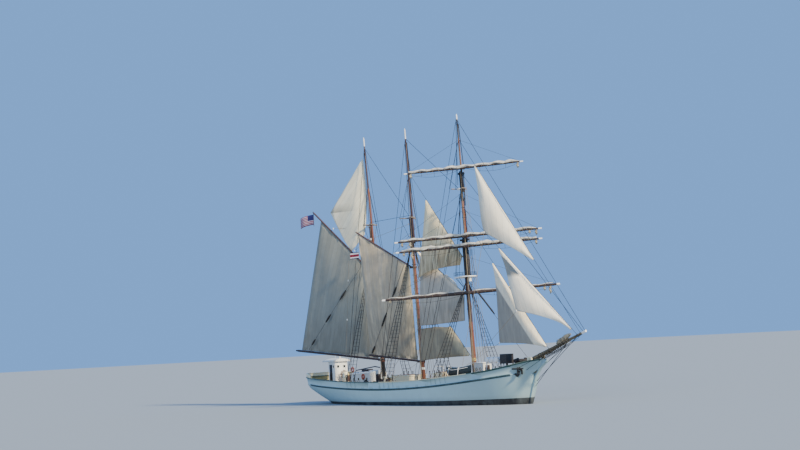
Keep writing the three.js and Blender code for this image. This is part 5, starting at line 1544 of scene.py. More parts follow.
@dataclass
class GaffRigDress:
    """Boom, gaff and mast hoops of one mast."""

    name: str
    mast: Mast
    lowest_hoop: float
    hoop_spacing: float
    hoops: int
    hoop_radius: float = 0.31

    def build(self) -> None:
        """Dresses the spars and adds the hoops of the luff."""
        body = f"{self.name}_rig"
        refined(f"{self.name}_boom", BOOM_BROWN, bevel=0.015)
        refined(f"{self.name}_gaff", GAFF_BROWN, bevel=0.012)
        heights = [self.lowest_hoop + self.hoop_spacing * i for i in range(self.hoops)]
        hoops = [ring(self.mast.point(h), self.mast.axis(), self.hoop_radius, 0.02, sides=22)
                 for h in heights]
        fit(f"{self.name}_mast_hoops", hoops, GREY_WOOD, body)


@dataclass
class BowspritDress:
    """Bowsprit, its rigging, the furled jib on it and the stays of all masts."""

    heel: Point = (18.7, 0, 4.72)
    tip: Point = (27.6, 0, 7.53)
    bands: tuple[Pair, ...] = ((20.6, 0.25), (22.1, 0.22), (25.2, 0.165), (26.4, 0.145), (26.85, 0.135))
    net_run: Pair = (21.0, 24.6)
    net_meshes: int = 14
    stays: tuple[str, ...] = ("forestay", "inner_jib_stay", "outer_jib_stay", "flying_jib_stay", "main_stay",
                              "lower_main_stay", "main_topmast_stay")

    def on_stick(self, x: float, side: float = 0.0, lift: float = 0.0) -> Vector:
        """Point beside the bowsprit's axis."""
        part = (x - self.heel[0]) / (self.tip[0] - self.heel[0])
        return at(x, side, mix(self.heel[2], self.tip[2], part) + lift)

    def build(self) -> None:
        """Paints the spar and rigs it."""
        piece = refined("bowsprit", None, bevel=0.015)

        def finish_index(centre: Vector, normal: Vector) -> int:
            """Wood for the stick and tar for the bobstays below it."""
            drop = full(self.on_stick(centre.x)).z - centre.z
            return 1 if drop > 0.4 and centre.x > 19.3 else 0

        paint_faces(piece, (SPRIT_WOOD, TARRED), finish_index)
        end = cone(self.on_stick(27.1), self.on_stick(27.62), 0.13, 0.118, 16, "bowsprit_tip")
        present(smooth(end), WHITE)
        bands = [ring(self.on_stick(x), self.on_stick(x + 1) - self.on_stick(x), radius, 0.025, sides=18)
                 for x, radius in self.bands]
        fit("bowsprit_bands", bands, DARK_IRON)
        for stay in self.stays:
            refined(stay, WIRE)
        self.bundle()
        guys = Cordage("bowsprit_guys", 0.02, TARRED)
        for side in SIDES.values():
            for x, out, aft, z in ((26.6, 0.12, 18.6, 4.0), (25.2, 0.13, 19.4, 3.9)):
                plate = at(aft, side * (LINES.wall_breadth(aft, z) + 0.02), z)
                guys.line(self.on_stick(x, side * out), plate)
            guys.line(
                *sag(self.on_stick(21.0, side * 0.3, -0.1), self.on_stick(26.9, side * 0.1, -0.05), 0.4)
            )
        guys.rig()
        self.net()

    def net(self) -> None:
        """Net slung under the bowsprit between two side ropes."""
        net = Cordage("bowsprit_net", 0.014, TARRED)
        aft, fore = self.net_run
        parts = [i / self.net_meshes for i in range(self.net_meshes + 1)]
        keel = [self.on_stick(mix(aft, fore, part), 0, -0.62 + 0.1 * part) for part in parts]
        for side in SIDES.values():
            edge = [self.on_stick(mix(aft, fore, part), side * mix(0.6, 0.3, part), 0.02) for part in parts]
            net.line(*edge)
            for i in range(self.net_meshes):
                net.line(edge[i], keel[i + 1])
                net.line(keel[i], edge[i + 1])
        net.line(*keel)
        net.rig()

    def bundle(self) -> None:
        """A jib stowed along the top of the bowsprit, under its lashings."""
        lumps = [(23.3, 0.08, 0.24), (23.55, 0.2, 0.3), (23.95, 0.27, 0.34), (24.35, 0.22, 0.38),
                 (24.75, 0.27, 0.42), (25.1, 0.2, 0.46), (25.45, 0.09, 0.46)]
        parts = chain([(self.on_stick(x, -0.08, z), radius) for x, radius, z in lumps], 12)
        fit("stowed_jib", parts, BUNDLED, angle=70)
        ties = [
            ring(self.on_stick(x, -0.05, 0.2), self.on_stick(x + 1) - self.on_stick(x), 0.38, 0.014, sides=16)
            for x in (23.7, 24.15, 24.6, 25.0)
        ]
        present(join(ties, "stowed_jib_lashings"), MANILA)
        served = [(11.0, 0.05), (11.3, 0.1), (12.2, 0.09), (13.2, 0.1), (13.6, 0.05)]
        top, foot = FORE.point(13.85, 0.2), self.on_stick(18.95)
        aft, fore = full(top).x, full(foot).x
        collar = chain([(top.lerp(foot, (x - aft) / (fore - aft)), radius) for x, radius in served], 10)
        fit("forestay_service", collar, CHAFING, angle=70)


@dataclass
class DeckDress:
    """Houses, hatches, the boat, the rafts and the gear about the deck."""

    dressings: tuple[Dressing, ...] = (
        Dressing("taffrail", CREAM, 0.015),
        Dressing("wheelhouse", WHITE, 0.015),
        Dressing("wheelhouse_roof", WHITE, 0.025),
        Dressing("wheelhouse_door", DARK_WOOD, 0.01),
        Dressing("steering_wheel", WHEEL_BROWN, angle=50),
        Dressing("steering_pedestal", CREAM, 0.02),
        Dressing("aft_deckhouse", WHITE, 0.02),
        Dressing("cargo_hatch", CREAM, 0.015),
        Dressing("scuttle", CREAM, 0.015),
        Dressing("forward_house", WHITE, 0.02),
        Dressing("ships_boat", BOAT_PAINT, 0.012, 50),
        Dressing("raft_canisters", RAFT_WHITE, 0.01, 40),
        Dressing("slatted_locker", LOCKER_WOOD, 0.008),
    )
    fittings: tuple[Box | Turned, ...] = (
        Box("skylight", (-11.9, -0.45, 4.1), (-10.7, 0.45, 4.42), 0.04, DARK_WOOD),
        Box("deckhouse_door", (-9.0, -0.35, 2.35), (-8.97, 0.35, 3.8), 0.01, DARK_WOOD),
        Box("scuttle_slide", (3.1, -0.45, 3.8), (4.2, 0.45, 3.9), 0.02, HATCH_BROWN),
        Box("forward_house_door", (11.9, -0.3, 2.95), (11.93, 0.3, 4.5), 0.01, DARK_WOOD),
        Box("locker_plinth", (15.6, -1.4, 4.36), (16.85, -0.3, 4.44), 0.01, WHITE),
        Turned("binnacle", (-15.55, 0, 3.0), (-15.55, 0, 3.75), (0.2, 0.16), 18, WHEEL_BROWN),
        Turned("binnacle_hood", (-15.55, 0, 3.75), (-15.55, 0, 4.0), (0.17, 0.07), 18, BRONZE),
        Turned("door_knob", (-17.85, -0.93, 4.1), (-17.85, -0.99, 4.1), (0.035, 0.035), 12, BRONZE,
               "wheelhouse_door"),
    )

    wheel_hub: Point = (-16.5, 0, 3.85)
    rim_radii: Pair = (0.34, 0.47)
    house_scuttles: tuple[float, ...] = (-12.4, -11.4, -10.4, -9.6)
    bollard_xs: tuple[float, ...] = (-19.6, -13.4, 7.4, 15.2)
    rail_runs: tuple[Pair, ...] = ((-10.2, -7.4), (-3.4, 0.2), (6.6, 9.8))
    heaps: tuple[Point, ...] = ((-7.0, -3.0, 1.0), (-5.6, -2.9, 1.0), (-8.4, -2.2, 1.1), (-6.3, 2.4, 1.1))
    vents: tuple[Pair, ...] = ((-5.2, -1.7), (1.9, 1.4), (-13.8, 1.6), (-13.8, -1.6))
    buoys: tuple[Point, ...] = ((-10.27, -1.34, 3.57), (-10.27, 1.34, 3.57), (-8.7, -3.78, 4.5))

    def build(self) -> None:
        """Dresses every piece on deck."""
        for row in (*self.dressings, *self.fittings):
            row.build()
        self.wheelhouse()
        self.steering()
        self.aft_house()
        self.hatches()
        self.forward()
        self.boat()
        self.forecastle()
        self.lifebuoys()
        self.pin_rails()
        self.deck_gear()

    def pane(self, *limits: Pair) -> Object:
        """Glass or other flat panel between limits on each axis."""
        return crate(*zip(*limits), 0.006)

    def wheelhouse(self) -> None:
        """Framed windows of the chart house, and the lamp and aerial on its roof."""
        glass_x, frame_x, glass_z = (-17.16, -17.14), (-17.11, -17.07), (4.64, 5.06)
        panes, trims = [], []
        for y in (-0.45, 0.45):
            panes.append(self.pane(glass_x, (y - 0.21, y + 0.21), glass_z))
            trims += [self.pane(frame_x, (y - 0.24, y + 0.24), (z, z + 0.09)) for z in (4.61, 5.0)]
            trims += [self.pane(frame_x, (y + shift, y + shift + 0.09), (4.69, 5.01))
                      for shift in (-0.24, 0.15)]
        for side in SIDES.values():
            inner, outer = sorted((side * 0.84, side * 0.86))
            panes.append(self.pane((-17.59, -17.25), (inner, outer), glass_z))
            inner, outer = sorted((side * 0.89, side * 0.93))
            trims += [self.pane((-17.62, -17.22), (inner, outer), (z, z + 0.08)) for z in (4.61, 5.01)]
            trims += [self.pane((x, x + 0.08), (inner, outer), (4.68, 5.02)) for x in (-17.62, -17.3)]
        present(join(panes, "wheelhouse_glass"), WINDOW)
        present(join(trims, "wheelhouse_window_frames"), WHITE)
        lamp = [cone(at(-17.3, 0, 5.86), at(-17.3, 0, 6.1), 0.08, 0.06, 14),
                cone(at(-19.0, 0.4, 5.8), at(-19.0, 0.4, 6.5), 0.02, 0.015, 8)]
        fit("roof_lamp_and_aerial", lamp, WHITE)

    def steering(self) -> None:
        """Rims of the steering wheel."""
        rims = [ring(at(*self.wheel_hub), Vector((1, 0, 0)), radius, 0.04, sides=28)
                for radius in self.rim_radii]
        fit("wheel_rims", rims, WHEEL_BROWN, "steering_wheel")

    def aft_house(self) -> None:
        """Scuttles and handrails of the after deckhouse, and the spar stowed beside it."""
        rims, glass = [], []
        for side in SIDES.values():
            for x in self.house_scuttles:
                rims.append(ring(at(x, side * 1.26, 3.3), Vector((0, 1, 0)), 0.13, 0.025, sides=18))
                glass.append(cone(at(x, side * 1.24, 3.3), at(x, side * 1.262, 3.3), 0.12, 0.12, 18))
        fit("deckhouse_scuttle_rims", rims, BRONZE)
        fit("deckhouse_scuttle_glass", glass, WINDOW)
        rails = Cordage("deckhouse_handrails", 0.025, VARNISH)
        for side in SIDES.values():
            rails.line(at(-12.8, side * 1.1, 4.14), at(-9.3, side * 1.1, 4.18))
            for x in (-12.8, -11.6, -10.4, -9.3):
                rails.line(at(x, side * 1.1, 3.92), at(x, side * 1.1, 4.17))
        rails.rig()
        stowed = Cordage("spar_on_deckhouse", 0.07, BOOM_BROWN)
        stowed.line(at(-12.0, -1.15, 4.33), at(-7.9, -1.15, 4.73), at(-6.9, -1.15, 4.6))
        stowed.rig()

    def hatches(self) -> None:
        """Boards of the cargo hatch, and the slats and grab rail of the scuttle."""
        boards = [crate((-4.6 + i * 0.45, -1.15, 3.62), (-4.18 + i * 0.45, 1.15, 3.66), 0.008)
                  for i in range(8)]
        present(join(boards, "hatch_boards"), HATCH_BROWN)
        slats = [crate((4.56, y - 0.05, 2.75), (4.58, y + 0.05, 3.68), 0.006)
                 for y in (-0.5, -0.25, 0.0, 0.25, 0.5)]
        present(join(slats, "scuttle_slats"), HATCH_BROWN)
        rail = Cordage("scuttle_grab_rail", 0.03, WHITE)
        for side in SIDES.values():
            rail.line(at(3.1, side * 0.65, 3.8), at(3.15, side * 0.65, 4.5), at(4.3, side * 0.65, 4.5),
                      at(4.4, side * 0.65, 3.8))
        rail.line(at(3.15, -0.65, 4.5), at(3.15, 0.65, 4.5))
        rail.rig()

    def forward(self) -> None:
        """Scuttles of the forward house, and a cowl ventilator."""
        rims = [ring(at(x, side * 0.61, 4.1), Vector((0, 1, 0)), 0.14, 0.03, sides=18)
                for x in (10.75, 11.4) for side in SIDES.values()]
        fit("forward_house_scuttles", rims, BRONZE)
        cowl = [cone(at(9.3, 1.6, 2.6), at(9.3, 1.6, 4.2), 0.12, 0.12, 16),
                cone(at(9.25, 1.6, 4.25), at(9.6, 1.6, 4.35), 0.14, 0.24, 16)]
        fit("cowl_ventilator", cowl, CREAM)

    def boat(self) -> None:
        """Light rubbing band and gripes of the covered boat."""
        gear = Cordage("boat_band_and_gripes", 0.03, WHITE)
        rim = ((-1.5, 0.5), (-1.0, 0.72), (0.1, 0.85), (1.3, 0.66), (2.0, 0.25))
        for side in SIDES.values():
            gear.line(*(at(9.9 + x, -2.45 + side * (half + 0.015), 4.16 + 0.3 * (x / 2.3) ** 2)
                        for x, half in rim))
        for x in (9.2, 10.9):
            gear.line(at(x, -3.35, 3.5), at(x, -3.2, 4.34), at(x, -2.45, 4.42), at(x, -1.7, 4.34),
                      at(x, -1.6, 3.5))
        gear.rig()

    def forecastle(self) -> None:
        """Straps of the rafts, the windlass, knightheads and bollards."""
        straps = [ring(at(13.86 + 0.72 * i, y, 5.05), Vector((0, 1, 0)), 0.302, 0.018, sides=18)
                  for i in range(3) for y in (-1.4, -1.1, -0.8)]
        fit("raft_straps", straps, BLACK)
        barrel = [cone(at(17.6, -0.7, 4.85), at(17.6, 0.7, 4.85), 0.2, 0.2, 18)]
        barrel += [cone(at(17.6, side * 0.7, 4.85), at(17.6, side * 0.95, 4.85), 0.26, 0.2, 18)
                   for side in SIDES.values()]
        barrel += [crate((17.45, side * 0.5 - 0.06, 4.3), (17.75, side * 0.5 + 0.06, 5.15), 0.03)
                   for side in SIDES.values()]
        fit("windlass", barrel, DARK_IRON)
        heads = [
            crate((19.1 + shift, side * 0.42 - 0.11, 4.35), (19.36 + shift, side * 0.42 + 0.11, 5.2), 0.03)
            for side in SIDES.values() for shift in (0.0, 0.4)
        ]
        present(join(heads, "knightheads"), CREAM)
        posts = []
        for x in self.bollard_xs:
            for side in SIDES.values():
                y = side * (LINES.wall_breadth(x, deck_height(x) + 0.3) - 0.45)
                for shift in (-0.16, 0.16):
                    base = deck_height(x) + DECK_GAP
                    posts.append(cone(at(x + shift, y, base), at(x + shift, y, base + 0.42), 0.07, 0.08, 12))
        fit("bollards", posts, DARK_IRON)

    def pin_rails(self) -> None:
        """Pin rails abreast of the masts and fife rails before them, with coils hung on their pins."""
        rails, pins, coils = [], [], []
        for aft, fore in self.rail_runs:
            for side in SIDES.values():
                middle = (aft + fore) / 2
                y = side * (LINES.wall_breadth(middle, sheer(middle) - 0.3) - 0.42)
                z = sheer(middle) - 0.12
                low, high = sorted((y - 0.07, y + 0.07))
                rails.append(crate((aft, low, z), (fore, high, z + 0.07), 0.01))
                count = round((fore - aft) / 0.4)
                for i in range(count):
                    self.pin((mix(aft, fore, (i + 0.5) / count), y, z), pins, coils)
        for mast in (FORE, MAIN, MIZZEN):
            x = mast.foot_x - 0.2 + 0.75
            deck = deck_height(x)
            rails.append(crate((x, -0.85, deck + 0.8), (x + 0.14, 0.85, deck + 0.88), 0.01))
            rails += [crate((x, y - 0.07, deck + DECK_GAP), (x + 0.14, y + 0.07, deck + 0.8), 0.01)
                      for y in (-0.75, 0.75)]
            for y in (-0.55, -0.2, 0.2, 0.55):
                self.pin((x + 0.07, y, deck + 0.8), pins, coils)
        present(join(rails, "pin_rails"), CREAM)
        fit("belaying_pins", pins, WHEEL_BROWN)
        fit("rope_coils", coils, GREY_WOOD)

    def pin(self, spot: Point, pins: list[Object], coils: list[Object]) -> None:
        """One belaying pin and the coil that hangs on it.

        Args:
            spot: place of the pin in its rail.
            pins: list that the pin is added to.
            coils: list that the coil is added to.
        """
        x, y, z = spot
        pins.append(cone(at(x, y, z - 0.2), at(x, y, z + 0.28), 0.02, 0.032, 8))
        coils.append(ring(at(x, y - math.copysign(0.1, y), z - 0.12), Vector((0.35, 1, 0)), 0.16, 0.055,
                          sides=12))

    def deck_gear(self) -> None:
        """Winch, vents and covered gear between the after house and the cargo hatch."""
        drum = [cone(at(-6.4, -1.5, 3.0), at(-6.4, -0.3, 3.0), 0.22, 0.22, 16)]
        drum += [crate((-6.65, y - 0.06, 2.1), (-6.15, y + 0.06, 3.3), 0.02) for y in (-1.55, -0.25)]
        drum += [cone(at(-6.4, -1.9, 3.0), at(-6.4, -1.6, 3.0), 0.17, 0.24, 14)]
        fit("deck_winch", drum, DARK_IRON)
        heaps = []
        for x, y, high in self.heaps:
            base = deck_height(x)
            heaps += chain([(at(x, y, base + high * part), radius)
                            for part, radius in ((0, 0.42), (0.7, 0.36), (1, 0.12))], 12)
        fit("covered_gear", heaps, CHAFING)
        vents = []
        for x, y in self.vents:
            base = deck_height(x)
            vents.append(cone(at(x, y, base), at(x, y, base + 1.25), 0.11, 0.11, 14))
            vents.append(cone(at(x, y, base + 1.25), at(x, y, base + 1.45), 0.26, 0.2, 14))
        fit("mushroom_vents", vents, CREAM)

    def lifebuoys(self) -> None:
        """Orange lifebuoys in the after rigging and on the rail."""
        buoys = [ring(at(*spot), Vector((0.1, 1, 0)), 0.27, 0.075, sides=22) for spot in self.buoys]
        fit("lifebuoys", buoys, LIFE_RED)


# Rigging


@dataclass(frozen=True)
class ShroudGang:
    """Shrouds of one mast on each side: hounds, chainplates and where the ratlines stop."""

    mast: Mast
    hounds: float
    plate_xs: tuple[float, ...]
    ratlines_to: float


@dataclass
class StandingRigging:
    """Shrouds, ratlines, backstays, deadeyes and the lesser stays."""

    gangs: tuple[ShroudGang, ...] = (
        ShroudGang(FORE, 13.6, (9.6, 8.8, 8.0, 7.2), 13.2),
        ShroudGang(MAIN, 18.5, (0.1, -0.8, -1.7, -2.6), 17.6),
        ShroudGang(MIZZEN, 18.6, (-7.8, -8.7, -9.6), 17.8),
    )
    deadeye_radius: float = 0.085
    deadeye_half: float = 0.04
    deadeye_lifts: Pair = (0.14, 0.72)
    plate_drop: float = 0.7
    first_ratline: float = 1.1
    step: float = 0.42

    def build(self) -> None:
        """Rigs everything that stands."""
        shrouds = Cordage("lower_shrouds", 0.03, TARRED)
        ratlines = Cordage("ratlines", 0.017, TARRED)
        eyes: list[Vector] = []
        for gang in self.gangs:
            for side in SIDES.values():
                legs = []
                for x in gang.plate_xs:
                    foot = at(x, side * (LINES.rail_breadth(x) - 0.02), LINES.rail_height(x) + 0.02)
                    top = gang.mast.point(gang.hounds, side=side * 0.16)
                    shrouds.line(foot, top)
                    legs.append((foot, top))
                    eyes.append(foot)
                self.ladder(ratlines, legs, at(0, 0, gang.ratlines_to).z)
        shrouds.rig()
        ratlines.rig()
        self.deadeyes(eyes)
        self.upper()

    def ladder(self, ratlines: Cordage, legs: list[tuple[Vector, Vector]], stop: float) -> None:
        """Ratlines across a gang of shrouds.

        Args:
            ratlines: the cordage that they go into.
            legs: foot and top of each shroud.
            stop: height of the last ratline in the model.
        """
        height = max(foot.z for foot, _ in legs) + self.first_ratline * SCALE
        while height < stop:
            points = [foot.lerp(top, (height - foot.z) / (top.z - foot.z)) for foot, top in legs]
            ratlines.line(*points)
            height += self.step * SCALE

    def deadeyes(self, feet: list[Vector]) -> None:
        """A pair of deadeyes with lanyards at the foot of each shroud, and its chainplate."""
        half = vec(0, self.deadeye_half, 0)
        pattern = cone(-half, half, self.deadeye_radius, self.deadeye_radius, 14)
        modify(pattern, "BEVEL", width=0.012, segments=2)
        places = [Matrix.Translation(foot + vec(0, 0, lift)) for foot in feet for lift in self.deadeye_lifts]
        present(smooth(lay_out(pattern, places, "deadeyes")), DARK_WOOD)
        gear = Cordage("lanyards", 0.014, TARRED)
        plates = Cordage("chainplates", 0.014, PLATE_GREY)
        for foot in feet:
            for shift in (-0.05, 0, 0.05):
                gear.line(foot + vec(shift, 0, 0.1), foot + vec(shift, 0, 0.76))
            low = full(foot)
            side = 1 if foot.y > 0 else -1
            bottom = low.z - self.plate_drop
            wall = LINES.wall_breadth(low.x, bottom)
            plates.line(foot + vec(0, 0.03 * side, 0.1), at(low.x, side * (wall + 0.03), bottom))
        gear.rig()
        plates.rig()

    def upper(self) -> None:
        """Topmast shrouds, backstays and the stays between the masts."""
        wires = Cordage("upper_standing_rigging", 0.022, TARRED)
        for side in SIDES.values():
            for x, y in ((-0.9, 0.85), (-0.45, 1.05), (0.1, 1.1)):
                wires.line(FORE.point(14.16, x, side * y), FORE.point(23.6, 0.42, side * 0.12))
                wires.line(FORE.point(14.05, x, side * y), FORE.point(12.6, 0, side * 0.2))
            wires.line(FORE.point(23.85, -0.45, side * 1.0), FORE.point(29.2, 0.7, side * 0.06))
            for x, top, ahead in ((6.3, 23.5, 0.42), (5.6, 23.4, 0.42), (4.9, 29.1, 0.70), (4.3, 31.6, 0.70)):
                foot = at(x, side * (LINES.rail_breadth(x) - 0.03), LINES.rail_height(x))
                wires.line(foot, FORE.point(top, ahead, side * 0.08))
            for mast, out, xs, tops in (
                (MAIN, 1.1, (-1.9, -2.5), (26.3, 30.7)),
                (MIZZEN, 0.95, (-8.9, -9.4), (26.0, 31.0)),
            ):
                for x, top in zip(xs, tops):
                    foot = at(x, side * (LINES.rail_breadth(x) - 0.03), LINES.rail_height(x))
                    wires.line(foot, mast.point(top, 0.35, side * 0.06))
                wires.line(mast.point(18.9, 0, side * 0.16),
                           mast.point(21.6, -0.5 if mast is MAIN else 0.02, side * out),
                           mast.point(26.2, 0.35, side * 0.08))
        wires.line(MAIN.point(30.8, 0.42), FORE.point(23.9, -0.1))
        wires.line(MIZZEN.point(30.9, 0.4), MAIN.point(21.8, -0.15))
        wires.line(MAIN.point(21.9, -0.1), MIZZEN.point(21.9, 0.55))
        wires.line(FORE.point(31.4, 0.76), at(27.45, 0, 7.62))
        wires.line(FORE.point(25.6, 0.56), at(27.2, 0, 7.52))
        wires.rig()


@dataclass
class RunningRigging:
    """Lines that work the sails and spars, with their blocks and chafing gear."""

    lee: Vector = field(default_factory=lambda: vec(0.81, -0.585, 0))
    flag_corner: Point = (-8.96, -1.96, 17.6)

    def build(self) -> None:
        """Rigs every group of lines."""
        self.topping_lift("main_rig", MAIN.point(18.3, 0, -0.2), at(-6.5, -2.45, 6.2), 0.9,
                          ((0.376, 0.463), (0.613, 0.738), (0.925, 0.99)))
        self.topping_lift("mizzen_rig", MIZZEN.point(18.3, 0, -0.3), at(-18.4, -3.75, 7.05), 1.15,
                          ((0.385, 0.481), (0.63, 0.71), (0.887, 0.944)))
        self.gaff_lines()
        self.yard_lines()
        self.jib_sheets()
        self.falls()
        self.signal_flag()
        self.pole_gear()
        self.staysail_gear()

    def topping_lift(self, body: str, top: Vector, bottom: Vector, reach: float,
                     gear: Sequence[Pair]) -> None:
        """A lift from a masthead to a boom, bowed round the belly of the sail, with shaggy chafing gear.

        Args:
            body: the rig that it moves with.
            top: its upper end.
            bottom: its lower end.
            reach: how far it stands off the straight line, in full-size metres.
            gear: shares of its length between which it is wrapped.
        """

        def along(part: float) -> Vector:
            """Point at a share of the length."""
            bow = max(0.0, math.sin(math.pi * part)) ** 0.7
            return top.lerp(bottom, part) + self.lee * reach * bow

        lift = Cordage(f"{body}_topping_lift", 0.022, WIRE, body)
        lift.line(*(along(i / 24) for i in range(25)))
        lift.rig()
        tufts = []
        for a, b in gear:
            marks = [along(mix(a, b, i / 4)) for i in range(5)]
            tufts += chain(list(zip(marks, (0.06, 0.1, 0.12, 0.1, 0.07))), 10)
        fit(f"{body}_chafing_gear", tufts, CHAFING, body, angle=70)

    def gaff_lines(self) -> None:
        """Peak halyards from the mastheads to the gaffs, with their blocks."""
        for body, mast, spans, gaff in (
            ("main_rig", MAIN, ((19.6, 2.4), (20.9, 5.2)), (34, 15.9, 20.5, 6.95)),
            ("mizzen_rig", MIZZEN, ((20.0, 2.6), (21.4, 5.4)), (27.5, 15.85, 23.9, 7.8)),
        ):
            yaw, low, high, reach = gaff
            turn = math.radians(yaw)
            foot = full(mast.point(low))
            halyards = Cordage(f"{body}_peak_halyards", 0.018, MANILA, body)
            blocks = []
            for height, run in spans:
                end = at(foot.x - run * math.cos(turn), -run * math.sin(turn),
                         mix(low, high, run / reach) + 0.15)
                top = mast.point(height, -0.3, -0.1)
                halyards.line(top, end)
                blocks += [self.block(top), self.block(end)]
            halyards.rig()
            fit(f"{body}_peak_blocks", blocks, WHITE, body)

    def block(self, place: Vector, size: float = 0.11) -> Object:
        """A rope block."""
        deselect()
        bpy.ops.mesh.primitive_uv_sphere_add(segments=10, ring_count=6, radius=size * SCALE)
        shell = bpy.context.active_object
        shell.data.transform(Matrix.Translation(place) @ Matrix.Diagonal((0.8, 0.55, 1.25, 1)))
        return shell

    def yard_lines(self) -> None:
        """Lifts and braces from each yardarm."""
        yards = YardDress()
        plans = {plan.node: plan for plan in yards.plans}
        leads = {
            "course_yard": (FORE.point(16.4, -0.1), MAIN.point(12.9, 0.2)),
            "lower_topsail_yard": (FORE.point(21.4, 0.4), MAIN.point(17.9, 0.2)),
            "upper_topsail_yard": (FORE.point(23.3, 0.4), MAIN.point(18.6, 0.3)),
            "topgallant_yard": (FORE.point(29.2, 0.7), MAIN.point(26.3, 0.4)),
        }
        for node, (lift_top, brace_end) in leads.items():
            plan = plans[node]
            place = yards.place(plan)
            for way in (-1, 1):
                arm = place @ vec(yards.hang, way * (plan.length / 2 - 0.45), 0.12)
                for kind, end, finish in (("lift", lift_top, WIRE), ("brace", brace_end, MANILA)):
                    line = Cordage(f"{node}_{kind}_{'port' if way > 0 else 'starboard'}", 0.014, finish)
                    line.line(*(arm.lerp(end, i / 6) for i in range(7)))
                    piece = coat(line.mesh(), finish)
                    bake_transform(piece)

    def signal_flag(self) -> None:
        """Small striped flag on a halyard to the mizzen's starboard spreader."""
        halyard = Cordage("signal_halyard", 0.014, MANILA)
        halyard.line(MIZZEN.point(21.6, 0.02, -0.95), at(-8.9, -1.95, 18.6), at(-8.98, -1.95, 17.3),
                     at(-9.3, -3.95, 3.5))
        top, foot = at(-9.6, -3.0, 17.4), at(-10.1, -3.95, 3.4)
        halyard.line(top, foot)
        halyard.rig()
        beads = [self.block(top.lerp(foot, part), 0.09) for part in (0.17, 0.5)]
        fit("halyard_toggles", beads, WHITE)
        deselect()
        bpy.ops.mesh.primitive_grid_add(x_subdivisions=18, y_subdivisions=9, size=1)
        cloth = bpy.context.active_object
        cloth.name = "signal_flag"
        flat = cloth.data.uv_layers.new(name="cloth")
        for loop in cloth.data.loops:
            place = cloth.data.vertices[loop.vertex_index].co
            flat.data[loop.index].uv = (place.x + 0.5, place.y + 0.5)
        x, y, z = self.flag_corner
        for vertex in cloth.data.vertices:
            fly, up = vertex.co.x + 0.5, vertex.co.y + 0.5
            wave = 0.07 * fly * math.sin(7.0 * fly + 1.5 * up)
            vertex.co = at(x - 0.86 * fly + 0.6 * wave, y - 0.64 * fly - 0.8 * wave,
                           z + 0.76 * up - 0.05 * fly)
        modify(cloth, "SOLIDIFY", thickness=0.006, offset=0.0)
        coat(smooth(cloth, 60), SIGNAL_CLOTH)
        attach(cloth, "ship")

    def pole_gear(self) -> None:
        """Halyards, ties and runners close to the upper poles."""
        gear = Cordage("gear_by_the_poles", 0.028, TARRED)
        for side in SIDES.values():
            gear.line(FORE.point(31.2, 0.62, side * 0.1), FORE.point(24.2, 0.3, side * 0.34))
            gear.line(FORE.point(28.9, 0.55, side * 0.14), FORE.point(23.9, 0.0, side * 0.42))
            gear.line(FORE.point(23.2, 0.2, side * 0.2), FORE.point(18.8, 0.05, side * 0.36))
            gear.line(MAIN.point(30.2, 0.3, side * 0.1), MAIN.point(22.0, 0.2, side * 0.26))
            gear.line(MIZZEN.point(30.4, 0.3, side * 0.1), MIZZEN.point(22.0, 0.2, side * 0.24))
        gear.rig()
        ties = Cordage("hoisting_ties", 0.045, TARRED)
        ties.line(FORE.point(31.0, 0.78, 0.1), FORE.point(26.3, 0.95, 0.16))
        ties.line(FORE.point(25.6, 0.85, 0.16), FORE.point(21.9, 0.62, 0.2))
        ties.line(MAIN.point(30.4, 0.46, 0.08), MAIN.point(24.5, 0.5, 0.12))
        ties.rig()

    def staysail_gear(self) -> None:
        """Canvas gathered along the stay at the head of the middle staysail."""
        marks = ((5.4, 14.62, 0.05), (5.7, 14.4, 0.16), (6.2, 14.1, 0.13), (6.6, 13.8, 0.18),
                 (7.1, 13.5, 0.12), (7.5, 13.2, 0.05))
        parts = chain([(at(x, -0.1, z), radius) for x, z, radius in marks], 10)
        fit("gathered_staysail_head", parts, FURLED, angle=70)

    def jib_sheets(self) -> None:
        """Sheets from the clews of the head sails to the forecastle, and of the staysails to the deck."""
        sheets = Cordage("headsail_sheets", 0.018, MANILA)
        clews = {plan.node: at(*plan.leech[0]) for plan in SailLoft().plans}
        leads = {
            "flying_jib": (12.0, -3.45, 4.6),
            "outer_jib": (13.2, -3.3, 4.7),
            "inner_jib": (12.6, -3.4, 4.6),
            "main_topmast_staysail": (-2.2, -3.9, 3.2),
            "middle_staysail": (-1.8, -3.9, 3.2),
            "lower_staysail": (-0.6, -3.9, 3.2),
        }
        for node, lead in leads.items():
            sheets.line(clews[node], at(*lead))
        sheets.rig()
        tackles = [self.block(clews[node], 0.1) for node in ("flying_jib", "outer_jib", "inner_jib")]
        fit("clew_blocks", tackles, WHITE)

    def falls(self) -> None:
        """Halyards and clewlines that come down beside the masts."""
        falls = Cordage("falls_by_the_masts", 0.016, MANILA)
        for mast, tops in (
            (FORE, (13.6, 17.6, 22.8, 25.6, 28.8)),
            (MAIN, (17.8, 18.6, 20.6, 25.8)),
            (MIZZEN, (17.6, 18.4, 20.8, 25.4)),
        ):
            for i, top in enumerate(tops):
                for side in SIDES.values():
                    ahead = 0.42 * (mast is FORE) * (top > 14) + 0.1 * i
                    foot = mast.point(0.3 + deck_height(mast.foot_x), 0.25 * (i + 1),
                                      side * (0.55 + 0.12 * i))
                    falls.line(mast.point(top, ahead, side * 0.16), foot)
        falls.rig()
        spots = [MIZZEN.point(z, -0.35, -0.35) for z in (14.9, 9.4)]
        spots += [MAIN.point(z, -0.5, -0.3) for z in (16.9, 17.6, 18.3)]
        fit("throat_blocks", [self.block(spot, 0.14) for spot in spots], WHITE)


# Studio


